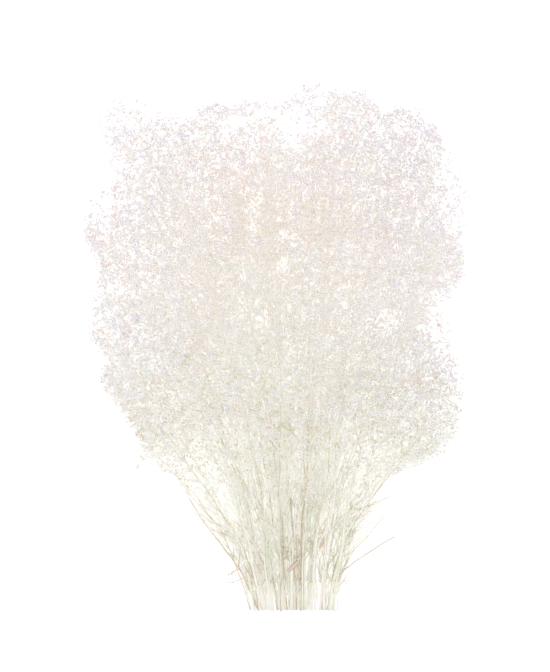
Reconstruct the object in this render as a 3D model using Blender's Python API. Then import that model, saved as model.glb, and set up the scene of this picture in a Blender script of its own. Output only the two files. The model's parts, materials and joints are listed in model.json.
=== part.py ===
"""A dried bunch of gypsophila, lying on a flat surface.

The cut ends of the stems point to -Y and the flower heads to +Y. The lowest florets and the lowest
cut ends touch the surface, z = 0. Every flowering stem grew as one piece and is one closed solid: its
main stem, branches, twigs, florets and leaves are joined by one Boolean union.
"""

import math
import random

import bmesh
import bpy
import numpy as np
from mathutils import Matrix, Vector

# Bunch, in metres: x runs across it, y along it and z up from the surface
CUT_END_Y = -0.330
NECK_LEFT_X = -0.026
NECK_RIGHT_X = 0.074
TOP_Y = 0.330
CLOUD_START_Y = -0.190
CLOUD_HEIGHT = 0.236
CLOUD_ROUNDNESS = 0.55
SHOULDER_LENGTH = 0.260
MIDDLE_HEIGHT = 0.100
GAP = 0.0004

# Main stems, in metres: four flat sides, thinner towards the tip
STEM_SIDES = 4
STEM_POINTS = 6
STEM_ROOT_RADIUS = 0.0018
STEM_TIP_RADIUS = 0.0010
LEVEL_RUN = 0.020
LAYER_STEP = 0.0082
LEFT_FAN = (0.30, 1.30)
RIGHT_FAN = (0.20, 1.50)
RISING_FAN = (0.80, 0.35)
BEND = 0.34

# Side branches and twigs, in metres and degrees
BRANCH_SIDES = 3
BRANCHES = 3
LONG_STEM_BRANCHES = 4
LONG_STEM_LENGTH = 0.50
BRANCH_ZONE = (0.56, 0.95)
BRANCH_JITTER = 0.3
BRANCH_LENGTHS = (0.100, 0.045)
BRANCH_LENGTH_SPREAD = (0.80, 1.15)
BRANCH_ANGLES = (30.0, 50.0)
BRANCH_RADII = (0.0009, 0.0007)
TWIGS_PER_BRANCH = 2
TWIG_FORKS = (0.30, 0.62)
TWIG_LENGTHS = (0.026, 0.046)
TWIG_ANGLES = (35.0, 60.0)
TWIG_RADII = (0.00045, 0.0004)
SIDE_SPREAD = 18.0
ROOT_SHARE = 0.35
TRIES = 14
SHORTER_EACH_TRY = 0.03
DEEPEST_LIFT = 0.030

# Florets, larger than life: radius in metres, then fractions of that radius
FLORET_RADIUS = 0.0150
FLORET_RADIUS_SPREAD = 0.0015
PETALS = 5
NOTCH_DEPTH = 0.55
PETAL_LIFT = 0.26
CUP_FLOOR = 0.12
CALYX_DROP = 0.34
CALYX_OFFSET = 0.30
PETAL_REACH = 0.80
PETAL_FULLNESS = 0.22

# How much a floret opens along its twig, away from the middle of the bunch, and by chance
FOLLOW_TWIG = 0.65
FOLLOW_OUTWARDS = 0.60
FOLLOW_CHANCE = 0.20
OUTWARD_Y = 0.050
OUTWARD_RISE = 1.6

# Lance leaves near the neck, in metres and degrees
LEAF_HALF_WIDTH = 0.0024
LEAF_HALF_THICKNESS = 0.0005
LEAF_WIDEST_AT = 0.36
LEAF_ANGLE = 40.0
LONGEST_LEAF = 0.050
LEAF_ZONE = (0.10, 0.34)
LEAF_PLACES = 40
LEAN_ZONE = 0.50
LEAF_BLADE = (0.10, 0.80)
NECK_SHARES = (0.12, 0.20, 0.28)

# Tips of the flowering stems in the four layers of the bunch, from the lowest layer up and from left
# to right in each: x, y and z in metres
LAYERS = (
    (
        (-0.196, -0.040, 0.066),
        (-0.158, 0.104, 0.046),
        (-0.138, 0.268, 0.034),
        (-0.050, 0.024, 0.040),
        (-0.010, 0.236, 0.030),
        (0.044, 0.040, 0.038),
        (0.136, 0.216, 0.032),
        (0.206, 0.100, 0.062),
        (0.196, -0.092, 0.064),
    ),
    (
        (-0.160, -0.074, 0.084),
        (-0.217, 0.160, 0.096),
        (-0.130, 0.012, 0.062),
        (-0.078, 0.288, 0.094),
        (-0.014, 0.134, 0.090),
        (0.050, 0.314, 0.102),
        (0.066, 0.128, 0.094),
        (0.160, 0.280, 0.100),
        (0.204, 0.024, 0.098),
    ),
    (
        (-0.216, 0.030, 0.140),
        (-0.196, 0.290, 0.140),
        (-0.090, 0.120, 0.150),
        (-0.052, 0.226, 0.152),
        (-0.018, 0.266, 0.146),
        (0.078, 0.226, 0.150),
        (0.206, 0.246, 0.140),
        (0.128, 0.000, 0.146),
        (0.222, -0.050, 0.112),
    ),
    (
        (-0.092, -0.062, 0.182),
        (-0.122, 0.214, 0.192),
        (0.006, -0.060, 0.188),
        (0.010, 0.060, 0.204),
        (0.104, 0.300, 0.184),
        (0.124, 0.106, 0.200),
        (0.094, -0.068, 0.184),
        (0.220, 0.168, 0.164),
    ),
)

# Outline of the cloud of florets seen from above: y, left x and right x in metres
OUTLINE = (
    (-0.190, -0.095, 0.105),
    (-0.140, -0.150, 0.175),
    (-0.110, -0.185, 0.222),
    (-0.040, -0.220, 0.236),
    (0.030, -0.230, 0.214),
    (0.080, -0.218, 0.232),
    (0.150, -0.236, 0.236),
    (0.230, -0.206, 0.230),
    (0.290, -0.206, 0.190),
    (0.330, -0.215, 0.140),
)

# Dried colours of the florets and stems, by how far up the bunch a stem's tip stands
FINISHES = (
    (-1.000, "olive gypsophila", (0.78, 0.77, 0.64, 1.0)),
    (0.000, "straw gypsophila", (0.84, 0.80, 0.70, 1.0)),
    (0.200, "blush gypsophila", (0.86, 0.80, 0.76, 1.0)),
)
DRY_ROUGHNESS = 0.85
WELD_DISTANCE = 0.00001


def lerp(low, high, share):
    """Value a share of the way from low to high."""
    return low + (high - low) * share


def closest_approach(p, q, starts, ends):
    """Distances from the segment p to q to each of many other segments."""
    own = q - p
    theirs = ends - starts
    offset = p - starts
    own_square = max(float(own @ own), 1e-12)
    their_square = np.maximum((theirs * theirs).sum(1), 1e-12)
    their_dot = (theirs * offset).sum(1)
    own_dot = offset @ own
    cross_dot = theirs @ own
    spread = own_square * their_square - cross_dot * cross_dot
    parallel = spread < 1e-12 * own_square * their_square
    s = (cross_dot * their_dot - own_dot * their_square) / np.where(parallel, 1.0, spread)
    s = np.clip(np.where(parallel, 0.0, s), 0.0, 1.0)
    t = (cross_dot * s + their_dot) / their_square
    s = np.where(t < 0.0, np.clip(-own_dot / own_square, 0.0, 1.0), s)
    s = np.where(t > 1.0, np.clip((cross_dot - own_dot) / own_square, 0.0, 1.0), s)
    apart = offset + own * s[:, None] - theirs * np.clip(t, 0.0, 1.0)[:, None]
    return np.sqrt((apart * apart).sum(1))


class Space:
    """Round-ended rods that stand for all that has grown so far, to keep new growth clear of it."""

    def __init__(self):
        self.owners = np.zeros(0, int)
        self.starts = np.zeros((0, 3))
        self.ends = np.zeros((0, 3))
        self.radii = np.zeros(0)

    def add(self, owner, start, end, radius):
        """Register one rod of a stem, or a ball where start and end are the same."""
        self.owners = np.append(self.owners, owner)
        self.starts = np.vstack([self.starts, tuple(start)])
        self.ends = np.vstack([self.ends, tuple(end)])
        self.radii = np.append(self.radii, radius)

    def clearance(self, start, end, radius, left_out=None):
        """Least gap from a new rod to the rest, leaving out the rods of the stem left_out."""
        kept = self.owners != left_out if left_out else slice(None)
        gaps = closest_approach(
            np.array(start), np.array(end), self.starts[kept], self.ends[kept]
        )
        return float((gaps - self.radii[kept]).min()) - radius


class Stem:
    """One flowering stem: the points of its main stem, and the rods, florets and leaves on it."""

    def __init__(self, number, root, tip, level):
        self.number = number
        self.random = random.Random(1000 + number)
        self.tip = tip
        self.points = self.main_stem(root, tip, level)
        last = len(self.points) - 2
        self.radii = [
            lerp(STEM_ROOT_RADIUS, STEM_TIP_RADIUS, max(0, i - 1) / last)
            for i in range(len(self.points))
        ]
        self.steps = [(b - a).length for a, b in zip(self.points, self.points[1:])]
        self.length = sum(self.steps)
        self.rods = []
        self.florets = []
        self.leaves = []

    def main_stem(self, root, tip, level):
        """Short straight run from the cut end, then a curve that opens outwards late, as the neck does."""
        span = tip - root
        fan = RIGHT_FAN if span.x > 0 else LEFT_FAN
        rise = 0.0 if level else span.z * RISING_FAN[0]
        leaving = Vector((span.x * fan[0], span.y, rise)).normalized()
        ending = Vector((span.x * fan[1], span.y, span.z * RISING_FAN[1])).normalized()
        start = root + leaving * LEVEL_RUN
        reach = (tip - start).length * BEND
        points = [root, start]
        for i in range(1, STEM_POINTS):
            t = i / (STEM_POINTS - 1)
            points.append(
                start * (1 - t) ** 3
                + (start + leaving * reach) * 3 * t * (1 - t) ** 2
                + (tip - ending * reach) * 3 * t * t * (1 - t)
                + tip * t**3
            )
        return points

    def at(self, share):
        """Place, direction and radius of the main stem at a share of its length."""
        left = share * self.length
        last = len(self.steps) - 1
        for i, step in enumerate(self.steps):
            if left > step and i < last:
                left -= step
                continue
            a, b = self.points[i : i + 2]
            part = min(left / step, 1.0)
            return a.lerp(b, part), (b - a).normalized(), lerp(*self.radii[i : i + 2], part)


def leaned(direction, side, angle, turn):
    """Direction leaned over by angle towards side, once side is turned about it, in degrees."""
    side = Matrix.Rotation(math.radians(turn), 3, direction) @ side
    angle = math.radians(angle)
    return (direction * math.cos(angle) + side * math.sin(angle)).normalized()


def petal_tip(k):
    """Tip of petal number k on a floret of radius 1 that opens along +Z."""
    angle = -math.pi + math.pi / (2 * PETALS) + k * 2 * math.pi / PETALS
    return Vector((math.cos(angle), math.sin(angle), PETAL_LIFT))


def floret_turn(facing):
    """Turn that makes a floret open towards facing."""
    return facing.to_track_quat("Z", "Y").to_matrix()


def floret_drop(facing, radius):
    """How far a floret's lowest point hangs below its centre."""
    turn = floret_turn(facing)
    corners = [petal_tip(k) for k in range(PETALS)]
    corners.append(Vector((-CALYX_OFFSET, 0.0, -CALYX_DROP)))
    return -min((turn @ corner).z for corner in corners) * radius


def floret_rods(facing, centre, radius):
    """Round-ended rods that fill a floret's cup and petals."""
    turn = floret_turn(facing)
    rods = [(centre, centre, radius * NOTCH_DEPTH)]
    for k in range(PETALS):
        reach = turn @ petal_tip(k) * radius * PETAL_REACH
        rods.append((centre, centre + reach, radius * PETAL_FULLNESS))
    return rods


def facing_of(centre, heading, chance):
    """Way a floret opens, from its twig's heading and its place in the bunch."""
    outwards = Vector((centre.x, OUTWARD_Y, (centre.z - MIDDLE_HEIGHT) * OUTWARD_RISE))
    outwards.normalize()
    facing = heading * FOLLOW_TWIG + outwards * FOLLOW_OUTWARDS + chance * FOLLOW_CHANCE
    return facing.normalized()


def outline_at(y):
    """Left and right x of the cloud at y."""
    for (y0, left0, right0), (y1, left1, right1) in zip(OUTLINE, OUTLINE[1:]):
        if y <= y1:
            part = (y - y0) / (y1 - y0)
            return lerp(left0, left1, part), lerp(right0, right1, part)
    return OUTLINE[-1][1:]


def inside_cloud(centre, radius):
    """Whether a floret stays inside the rounded cloud of the bunch."""
    if not CLOUD_START_Y <= centre.y <= TOP_Y - radius:
        return False
    left, right = outline_at(centre.y)
    if not left + radius <= centre.x <= right - radius:
        return False
    middle = (left + right) / 2
    sideways = (centre.x - middle) / (right - middle)
    rise = min(1.0, (centre.y - CUT_END_Y) / SHOULDER_LENGTH)
    roof = CLOUD_HEIGHT * rise * math.sqrt(1.0 - CLOUD_ROUNDNESS * sideways * sideways)
    return centre.z <= roof - radius


def grow_floret(stem, space, root, heading, length, radii):
    """Add a rod with a floret on its end and return the floret's centre, or None with no room."""
    chance = stem.random.uniform
    radius = FLORET_RADIUS + FLORET_RADIUS_SPREAD * chance(-1, 1)
    stray = Vector([chance(-1, 1) for _ in range(3)])
    centre = root + heading * length
    facing = facing_of(centre, heading, stray)
    drop = floret_drop(facing, radius)
    if centre.z < drop - DEEPEST_LIFT:
        return None
    centre.z = max(centre.z, drop)
    if not inside_cloud(centre, radius):
        return None
    outer_root = root.lerp(centre, ROOT_SHARE)
    if space.clearance(root, centre, radii[0], stem.number) < GAP:
        return None
    if space.clearance(outer_root, centre, radii[0]) < GAP:
        return None
    petals = floret_rods(facing, centre, radius)
    if min(space.clearance(*petal) for petal in petals) < GAP:
        return None
    stem.rods.append((root, centre, radii))
    stem.florets.append((facing, centre, radius))
    space.add(stem.number, root, centre, radii[0])
    for petal in petals:
        space.add(stem.number, *petal)
    return centre


def grow_branch(stem, space, share):
    """Side branch at a share of the stem's length: its two ends, or None with no room."""
    root, direction, _ = stem.at(share)
    fade = (share - BRANCH_ZONE[0]) / (BRANCH_ZONE[1] - BRANCH_ZONE[0])
    side = direction.cross(Vector((0.0, 0.0, 1.0))).normalized()
    first = stem.random.randrange(STEM_SIDES)
    for i in range(TRIES):
        angle = stem.random.uniform(*BRANCH_ANGLES)
        length = lerp(*BRANCH_LENGTHS, fade) * stem.random.uniform(*BRANCH_LENGTH_SPREAD)
        length *= 1.0 - SHORTER_EACH_TRY * i
        turn = (first + i) * 360 / STEM_SIDES + stem.random.uniform(-SIDE_SPREAD, SIDE_SPREAD)
        heading = leaned(direction, side, angle, turn)
        end = grow_floret(stem, space, root, heading, length, BRANCH_RADII)
        if end:
            return root, end
    return None


def grow_twigs(stem, space, root, end):
    """Twigs with a floret each, out of the flat sides of one side branch."""
    direction = (end - root).normalized()
    flat_side = Vector((math.cos(math.pi / 6), math.sin(math.pi / 6), 0.0))
    side = direction.to_track_quat("Z", "Y") @ flat_side
    first = stem.random.randrange(BRANCH_SIDES)
    for k in range(TWIGS_PER_BRANCH):
        fork = root.lerp(end, lerp(*TWIG_FORKS, k / (TWIGS_PER_BRANCH - 1)))
        for i in range(TRIES):
            angle = stem.random.uniform(*TWIG_ANGLES)
            length = stem.random.uniform(*TWIG_LENGTHS)
            turn = (first + k + i) * 360 / BRANCH_SIDES
            turn += stem.random.uniform(-SIDE_SPREAD, SIDE_SPREAD)
            heading = leaned(direction, side, angle, turn)
            if grow_floret(stem, space, fork, heading, length, TWIG_RADII):
                break


def lean_leaf(stem, other, space):
    """Lance leaf on one stem whose point leans on another, or False with no room for it."""
    for i in range(LEAF_PLACES):
        root, direction, _ = stem.at(lerp(*LEAF_ZONE, i / (LEAF_PLACES - 1)))
        target, along, radius = min(
            (other.at(LEAN_ZONE * j / LEAF_PLACES) for j in range(1, LEAF_PLACES)),
            key=lambda place: abs((place[0] - root).angle(direction) - math.radians(LEAF_ANGLE)),
        )
        away = root - target
        away -= along * away.dot(along)
        tip = target + away.normalized() * (radius + GAP)
        if (tip - root).length > LONGEST_LEAF:
            continue
        inner, outer = (root.lerp(tip, share) for share in LEAF_BLADE)
        if space.clearance(inner, outer, LEAF_HALF_WIDTH, stem.number) < GAP:
            continue
        stem.leaves.append((root, tip))
        space.add(stem.number, root, outer, LEAF_HALF_WIDTH)
        return True
    return False


def link_stems(stems, space):
    """Lean every stem on a neighbour with a leaf, so that the whole bunch holds together."""
    joined = [stems[0]]
    waiting = stems[1:]
    while waiting:
        pairs = sorted(
            (min((a.at(s)[0] - b.at(s)[0]).length for s in NECK_SHARES), a.number, b.number)
            for a in joined
            for b in waiting
        )
        for _, a, b in pairs:
            here, there = stems[a - 1], stems[b - 1]
            if lean_leaf(there, here, space) or lean_leaf(here, there, space):
                joined.append(there)
                waiting.remove(there)
                break
        else:
            raise ValueError("no stem that is left stands near enough to lean on another")


def plan_stems():
    """All stems with their main stems, side by side in each layer of the neck."""
    stems = []
    lowest = STEM_ROOT_RADIUS * math.cos(math.pi / STEM_SIDES)
    for layer, tips in enumerate(LAYERS):
        for i, tip in enumerate(tips):
            share = (i + 0.5 * (layer % 2)) / (len(tips) - 0.5)
            x = lerp(NECK_LEFT_X, NECK_RIGHT_X, share)
            root = Vector((x, CUT_END_Y, lowest + LAYER_STEP * layer))
            stems.append(Stem(len(stems) + 1, root, Vector(tip), layer == 0))
    return stems


def grow_bunch():
    """Grow all stems in turn, one branch each time round, so that they share the room."""
    stems = plan_stems()
    space = Space()
    for stem in stems:
        for i in range(len(stem.steps)):
            space.add(stem.number, stem.points[i], stem.points[i + 1], stem.radii[i])
    link_stems(stems, space)
    for stem in stems:
        facing = facing_of(stem.tip, stem.at(1.0)[1], Vector())
        stem.florets.append((facing, stem.tip, FLORET_RADIUS))
        for petal in floret_rods(facing, stem.tip, FLORET_RADIUS):
            space.add(stem.number, *petal)
    branches = []
    for k in range(LONG_STEM_BRANCHES):
        for stem in stems:
            count = LONG_STEM_BRANCHES if stem.length > LONG_STEM_LENGTH else BRANCHES
            if k >= count:
                continue
            jitter = stem.random.uniform(-BRANCH_JITTER, BRANCH_JITTER)
            branch = grow_branch(stem, space, lerp(*BRANCH_ZONE, (k + jitter) / (count - 1)))
            if branch:
                branches.append((stem, *branch))
    for stem, root, end in branches:
        grow_twigs(stem, space, root, end)
    return stems


def mesh_from(bm, name):
    """Mesh of a finished bmesh, which is freed."""
    mesh = bpy.data.meshes.new(name)
    bm.to_mesh(mesh)
    bm.free()
    return mesh


def main_stem_mesh(stem):
    """Main stem as a curve with a bevel and filled caps, its flat sides level, made a mesh."""
    curve = bpy.data.curves.new("main stem", "CURVE")
    curve.dimensions = "3D"
    curve.bevel_depth = 1.0
    curve.bevel_resolution = 0
    curve.use_fill_caps = True
    curve.twist_mode = "Z_UP"
    spline = curve.splines.new("POLY")
    spline.points.add(len(stem.points) - 1)
    for point, place, radius in zip(spline.points, stem.points, stem.radii):
        point.co = (*place, 1.0)
        point.radius = radius
        point.tilt = math.pi / STEM_SIDES
    guide = bpy.data.objects.new("main stem", curve)
    bpy.context.scene.collection.objects.link(guide)
    graph = bpy.context.evaluated_depsgraph_get()
    mesh = bpy.data.meshes.new_from_object(guide.evaluated_get(graph))
    bpy.data.objects.remove(guide)
    bpy.data.curves.remove(curve)
    bm = bmesh.new()
    bm.from_mesh(mesh)
    bpy.data.meshes.remove(mesh)
    bmesh.ops.remove_doubles(bm, verts=bm.verts, dist=WELD_DISTANCE)
    return mesh_from(bm, f"main_stem_{stem.number:02d}")


def rod_mesh(start, end, radii):
    """Branch or twig: a tapered rod with three flat sides."""
    bm = bmesh.new()
    run = end - start
    bmesh.ops.create_cone(
        bm,
        cap_ends=True,
        segments=BRANCH_SIDES,
        radius1=radii[0],
        radius2=radii[1],
        depth=run.length,
    )
    turn = run.to_track_quat("Z", "Y").to_matrix().to_4x4()
    bm.transform(Matrix.Translation((start + end) / 2) @ turn)
    return mesh_from(bm, "twig")


def leaf_mesh(root, tip):
    """Lance leaf: narrow, pointed at both ends and widest a third of the way along."""
    bm = bmesh.new()
    bmesh.ops.create_uvsphere(bm, u_segments=4, v_segments=2, radius=1.0)
    run = tip - root
    for vert in bm.verts:
        if abs(vert.co.z) < 0.5:
            half = Vector((vert.co.x * LEAF_HALF_WIDTH, vert.co.y * LEAF_HALF_THICKNESS, 0.0))
            vert.co = half + Vector((0.0, 0.0, LEAF_WIDEST_AT * run.length))
        else:
            vert.co = Vector((0.0, 0.0, run.length if vert.co.z > 0 else 0.0))
    bm.transform(Matrix.Translation(root) @ run.to_track_quat("Z", "Y").to_matrix().to_4x4())
    return mesh_from(bm, "leaf")


def floret_mesh():
    """Floret of radius 1: pointed petals round a shallow cup, over a calyx set off its axis."""
    bm = bmesh.new()
    bmesh.ops.create_uvsphere(bm, u_segments=2 * PETALS, v_segments=2, radius=1.0)
    top = max(bm.verts, key=lambda v: v.co.z)
    bottom = min(bm.verts, key=lambda v: v.co.z)
    ring = [v for v in bm.verts if v not in (top, bottom)]
    ring.sort(key=lambda v: math.atan2(v.co.y, v.co.x))
    for tip in ring[0::2]:
        tip.co.z = PETAL_LIFT
    for notch in ring[1::2]:
        notch.co = Vector((notch.co.x, notch.co.y, 0.0)) * NOTCH_DEPTH
    top.co.z = CUP_FLOOR
    bottom.co = Vector((-CALYX_OFFSET, 0.0, -CALYX_DROP))
    return mesh_from(bm, "floret")


def add_object(name, mesh, collection):
    """New object for a mesh, in a collection."""
    obj = bpy.data.objects.new(name, mesh)
    collection.objects.link(obj)
    return obj


def build_stem(stem, floret, bunch, repeats):
    """One stem's object: its repeats joined to its main stem by one union, which is applied."""
    body = add_object(f"flowering_stem_{stem.number:02d}", main_stem_mesh(stem), bunch)
    for start, end, radii in stem.rods:
        add_object("twig", rod_mesh(start, end, radii), repeats)
    for root, tip in stem.leaves:
        add_object("leaf", leaf_mesh(root, tip), repeats)
    for facing, centre, radius in stem.florets:
        turn = floret_turn(facing).to_4x4()
        copy = add_object("floret", floret, repeats)
        copy.matrix_world = Matrix.Translation(centre) @ turn @ Matrix.Scale(radius, 4)
    union = body.modifiers.new("grown together", "BOOLEAN")
    union.operation = "UNION"
    union.operand_type = "COLLECTION"
    union.collection = repeats
    union.solver = "MANIFOLD"
    graph = bpy.context.evaluated_depsgraph_get()
    grown = bpy.data.meshes.new_from_object(body.evaluated_get(graph))
    body.modifiers.remove(union)
    body.data = grown
    for copy in list(repeats.objects):
        bpy.data.objects.remove(copy)
    return body


def make_finish(name, colour):
    """Dry, papery finish in one colour."""
    finish = bpy.data.materials.new(name)
    finish.use_nodes = True
    shader = finish.node_tree.nodes["Principled BSDF"]
    shader.inputs["Base Color"].default_value = colour
    shader.inputs["Roughness"].default_value = DRY_ROUGHNESS
    shader.inputs["Metallic"].default_value = 0.0
    return finish


def main():
    """Clear the scene, grow the bunch and build each of its stems."""
    for obj in list(bpy.data.objects):
        bpy.data.objects.remove(obj)
    bunch = bpy.data.collections.new("Gypsophila bunch")
    repeats = bpy.data.collections.new("Repeats")
    bpy.context.scene.collection.children.link(bunch)
    bpy.context.scene.collection.children.link(repeats)
    finishes = [(lowest, make_finish(name, colour)) for lowest, name, colour in FINISHES]
    floret = floret_mesh()
    for stem in grow_bunch():
        body = build_stem(stem, floret, bunch, repeats)
        fitting = [finish for lowest, finish in finishes if stem.tip.y >= lowest]
        body.data.materials.clear()
        body.data.materials.append(fitting[-1])
    bpy.data.collections.remove(repeats)


if __name__ == "__main__":
    main()
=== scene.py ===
"""Finished look of a dried bunch of gypsophila that lies on a pale floor and is seen from above.

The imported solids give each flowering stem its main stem, its side branches and the places of its
flower sprays. Two finer pieces replace each of them and keep that form. One holds the stalks: the
main stem, its branches, every fork and pedicel, and the dry leaves. The other holds the blooms.
Lengths are in metres and angles in degrees, unless a name says otherwise.
"""

import json
import logging
import math
import random
from collections.abc import Callable
from dataclasses import dataclass, field
from enum import Enum

import bpy
import numpy as np
from mathutils import Matrix, Vector

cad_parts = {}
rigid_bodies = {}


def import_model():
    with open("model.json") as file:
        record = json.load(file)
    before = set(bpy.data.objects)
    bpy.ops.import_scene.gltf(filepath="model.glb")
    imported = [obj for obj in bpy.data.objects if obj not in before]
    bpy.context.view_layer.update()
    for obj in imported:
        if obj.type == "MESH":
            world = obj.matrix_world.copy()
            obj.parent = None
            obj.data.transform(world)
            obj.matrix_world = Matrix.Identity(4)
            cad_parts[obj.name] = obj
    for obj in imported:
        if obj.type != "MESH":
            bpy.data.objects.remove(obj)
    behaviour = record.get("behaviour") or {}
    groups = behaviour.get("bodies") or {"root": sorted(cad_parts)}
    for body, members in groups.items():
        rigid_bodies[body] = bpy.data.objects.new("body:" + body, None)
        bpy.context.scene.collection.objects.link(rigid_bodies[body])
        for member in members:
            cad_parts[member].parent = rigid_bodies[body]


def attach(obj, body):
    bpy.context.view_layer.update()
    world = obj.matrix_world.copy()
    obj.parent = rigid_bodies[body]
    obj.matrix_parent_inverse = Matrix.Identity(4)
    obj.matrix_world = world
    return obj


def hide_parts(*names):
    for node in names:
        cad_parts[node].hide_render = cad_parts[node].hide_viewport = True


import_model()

LOG = logging.getLogger("gypsophila")
TINY = 1e-12
FRAME_SEED = 1000
FINE_SEED = 5000
CIRCLE = 2 * math.pi

Pair = tuple[float, float]
Triple = tuple[float, float, float]
Arm = tuple[Vector, Vector, float]
Rows = tuple[tuple[float, ...], ...]
Stops = tuple[tuple[float, str], ...]


def lerp(low: float, high: float, share: float) -> float:
    """Return the value a share of the way from low to high."""
    return low + (high - low) * share


def row_at(rows: Rows, at: float) -> tuple[float, ...]:
    """Read a table between its rows.

    Args:
        rows: The rows, in the order of their first column.
        at: Value of the first column.

    Returns:
        The other columns there: led on below the first row, and held above the last.
    """
    for low, high in zip(rows, rows[1:]):
        if at <= high[0]:
            part = (at - low[0]) / (high[0] - low[0])
            return tuple(lerp(a, b, part) for a, b in zip(low[1:], high[1:]))
    return rows[-1][1:]


def leaned(direction: Vector, side: Vector, angle: float, turn: float) -> Vector:
    """Lean a direction over towards one side of it.

    Args:
        direction: The direction to lean, of length 1.
        side: A direction square to it.
        angle: How far it leans.
        turn: How far the side is first turned about the direction.

    Returns:
        The leaned direction, of length 1.
    """
    side = Matrix.Rotation(math.radians(turn), 3, direction) @ side
    angle = math.radians(angle)
    return (direction * math.cos(angle) + side * math.sin(angle)).normalized()


def closest_approach(
    p: np.ndarray, q: np.ndarray, starts: np.ndarray, ends: np.ndarray
) -> np.ndarray:
    """Measure the distances from one segment to many others.

    Args:
        p: Start of the segment.
        q: End of the segment.
        starts: Starts of the other segments, one a row.
        ends: Ends of the other segments, one a row.

    Returns:
        The least distance to each of the other segments.
    """
    own = q - p
    theirs = ends - starts
    offset = p - starts
    own_square = max(float(own @ own), TINY)
    their_square = np.maximum((theirs * theirs).sum(1), TINY)
    their_dot = (theirs * offset).sum(1)
    own_dot = offset @ own
    cross_dot = theirs @ own
    spread = own_square * their_square - cross_dot * cross_dot
    parallel = spread < TINY * own_square * their_square
    s = (cross_dot * their_dot - own_dot * their_square) / np.where(parallel, 1.0, spread)
    s = np.clip(np.where(parallel, 0.0, s), 0.0, 1.0)
    t = (cross_dot * s + their_dot) / their_square
    s = np.where(t < 0.0, np.clip(-own_dot / own_square, 0.0, 1.0), s)
    s = np.where(t > 1.0, np.clip((cross_dot - own_dot) / own_square, 0.0, 1.0), s)
    apart = offset + own * s[:, None] - theirs * np.clip(t, 0.0, 1.0)[:, None]
    return np.sqrt((apart * apart).sum(1))


class Room:
    """Round-ended rods that stand for all that has grown so far, to keep new growth clear of it."""

    def __init__(self) -> None:
        """Start with nothing grown."""
        self.owners, self.radii = np.zeros(0, int), np.zeros(0)
        self.starts, self.ends = np.zeros((0, 3)), np.zeros((0, 3))

    def add(self, owner: int, start: Vector, end: Vector, radius: float) -> None:
        """Register one rod of a stem, or a ball where its two ends are the same.

        Args:
            owner: Number of the stem.
            start: One end of the rod.
            end: Its other end.
            radius: Its radius.
        """
        self.owners = np.append(self.owners, owner)
        self.starts = np.vstack([self.starts, tuple(start)])
        self.ends = np.vstack([self.ends, tuple(end)])
        self.radii = np.append(self.radii, radius)

    def clearance(
        self, start: Vector, end: Vector, radius: float, left_out: int | None = None
    ) -> float:
        """Measure the least gap from a new rod to what has grown.

        Args:
            start: One end of the new rod.
            end: Its other end.
            radius: Its radius.
            left_out: Number of a stem whose own rods are left out.

        Returns:
            The least gap, which is negative where they cross.
        """
        kept = self.owners != left_out if left_out else slice(None)
        gaps = closest_approach(np.array(start), np.array(end), self.starts[kept], self.ends[kept])
        return float((gaps - self.radii[kept]).min()) - radius


@dataclass
class Rod:
    """Straight branch or twig of the framework, with the rod that it grows from, if any."""

    start: Vector
    end: Vector
    parent: int | None


@dataclass
class FrameStem:
    """Framework of one flowering stem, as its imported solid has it."""

    number: int
    tip: Vector
    points: list[Vector]
    radii: list[float]
    level: bool
    rods: list[Rod] = field(default_factory=list)
    florets: list[tuple[Vector, Vector, float]] = field(default_factory=list)
    leaves: list[tuple[Vector, Vector]] = field(default_factory=list)

    def __post_init__(self) -> None:
        """Work out the length of each step, and seed the stem's own random draws."""
        self.draws = random.Random(FRAME_SEED + self.number)
        self.steps = [(b - a).length for a, b in zip(self.points, self.points[1:])]
        self.length = sum(self.steps)

    def at(self, share: float) -> tuple[Vector, Vector, float]:
        """Find a point of the main stem.

        Args:
            share: How far along the stem it is, from 0 to 1.

        Returns:
            Its place, the stem's direction and its radius there.
        """
        left, index = share * self.length, 0
        while left > self.steps[index] and index < len(self.steps) - 1:
            left -= self.steps[index]
            index += 1
        a, b = self.points[index : index + 2]
        part = min(left / self.steps[index], 1.0)
        return a.lerp(b, part), (b - a).normalized(), lerp(*self.radii[index : index + 2], part)


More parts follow.
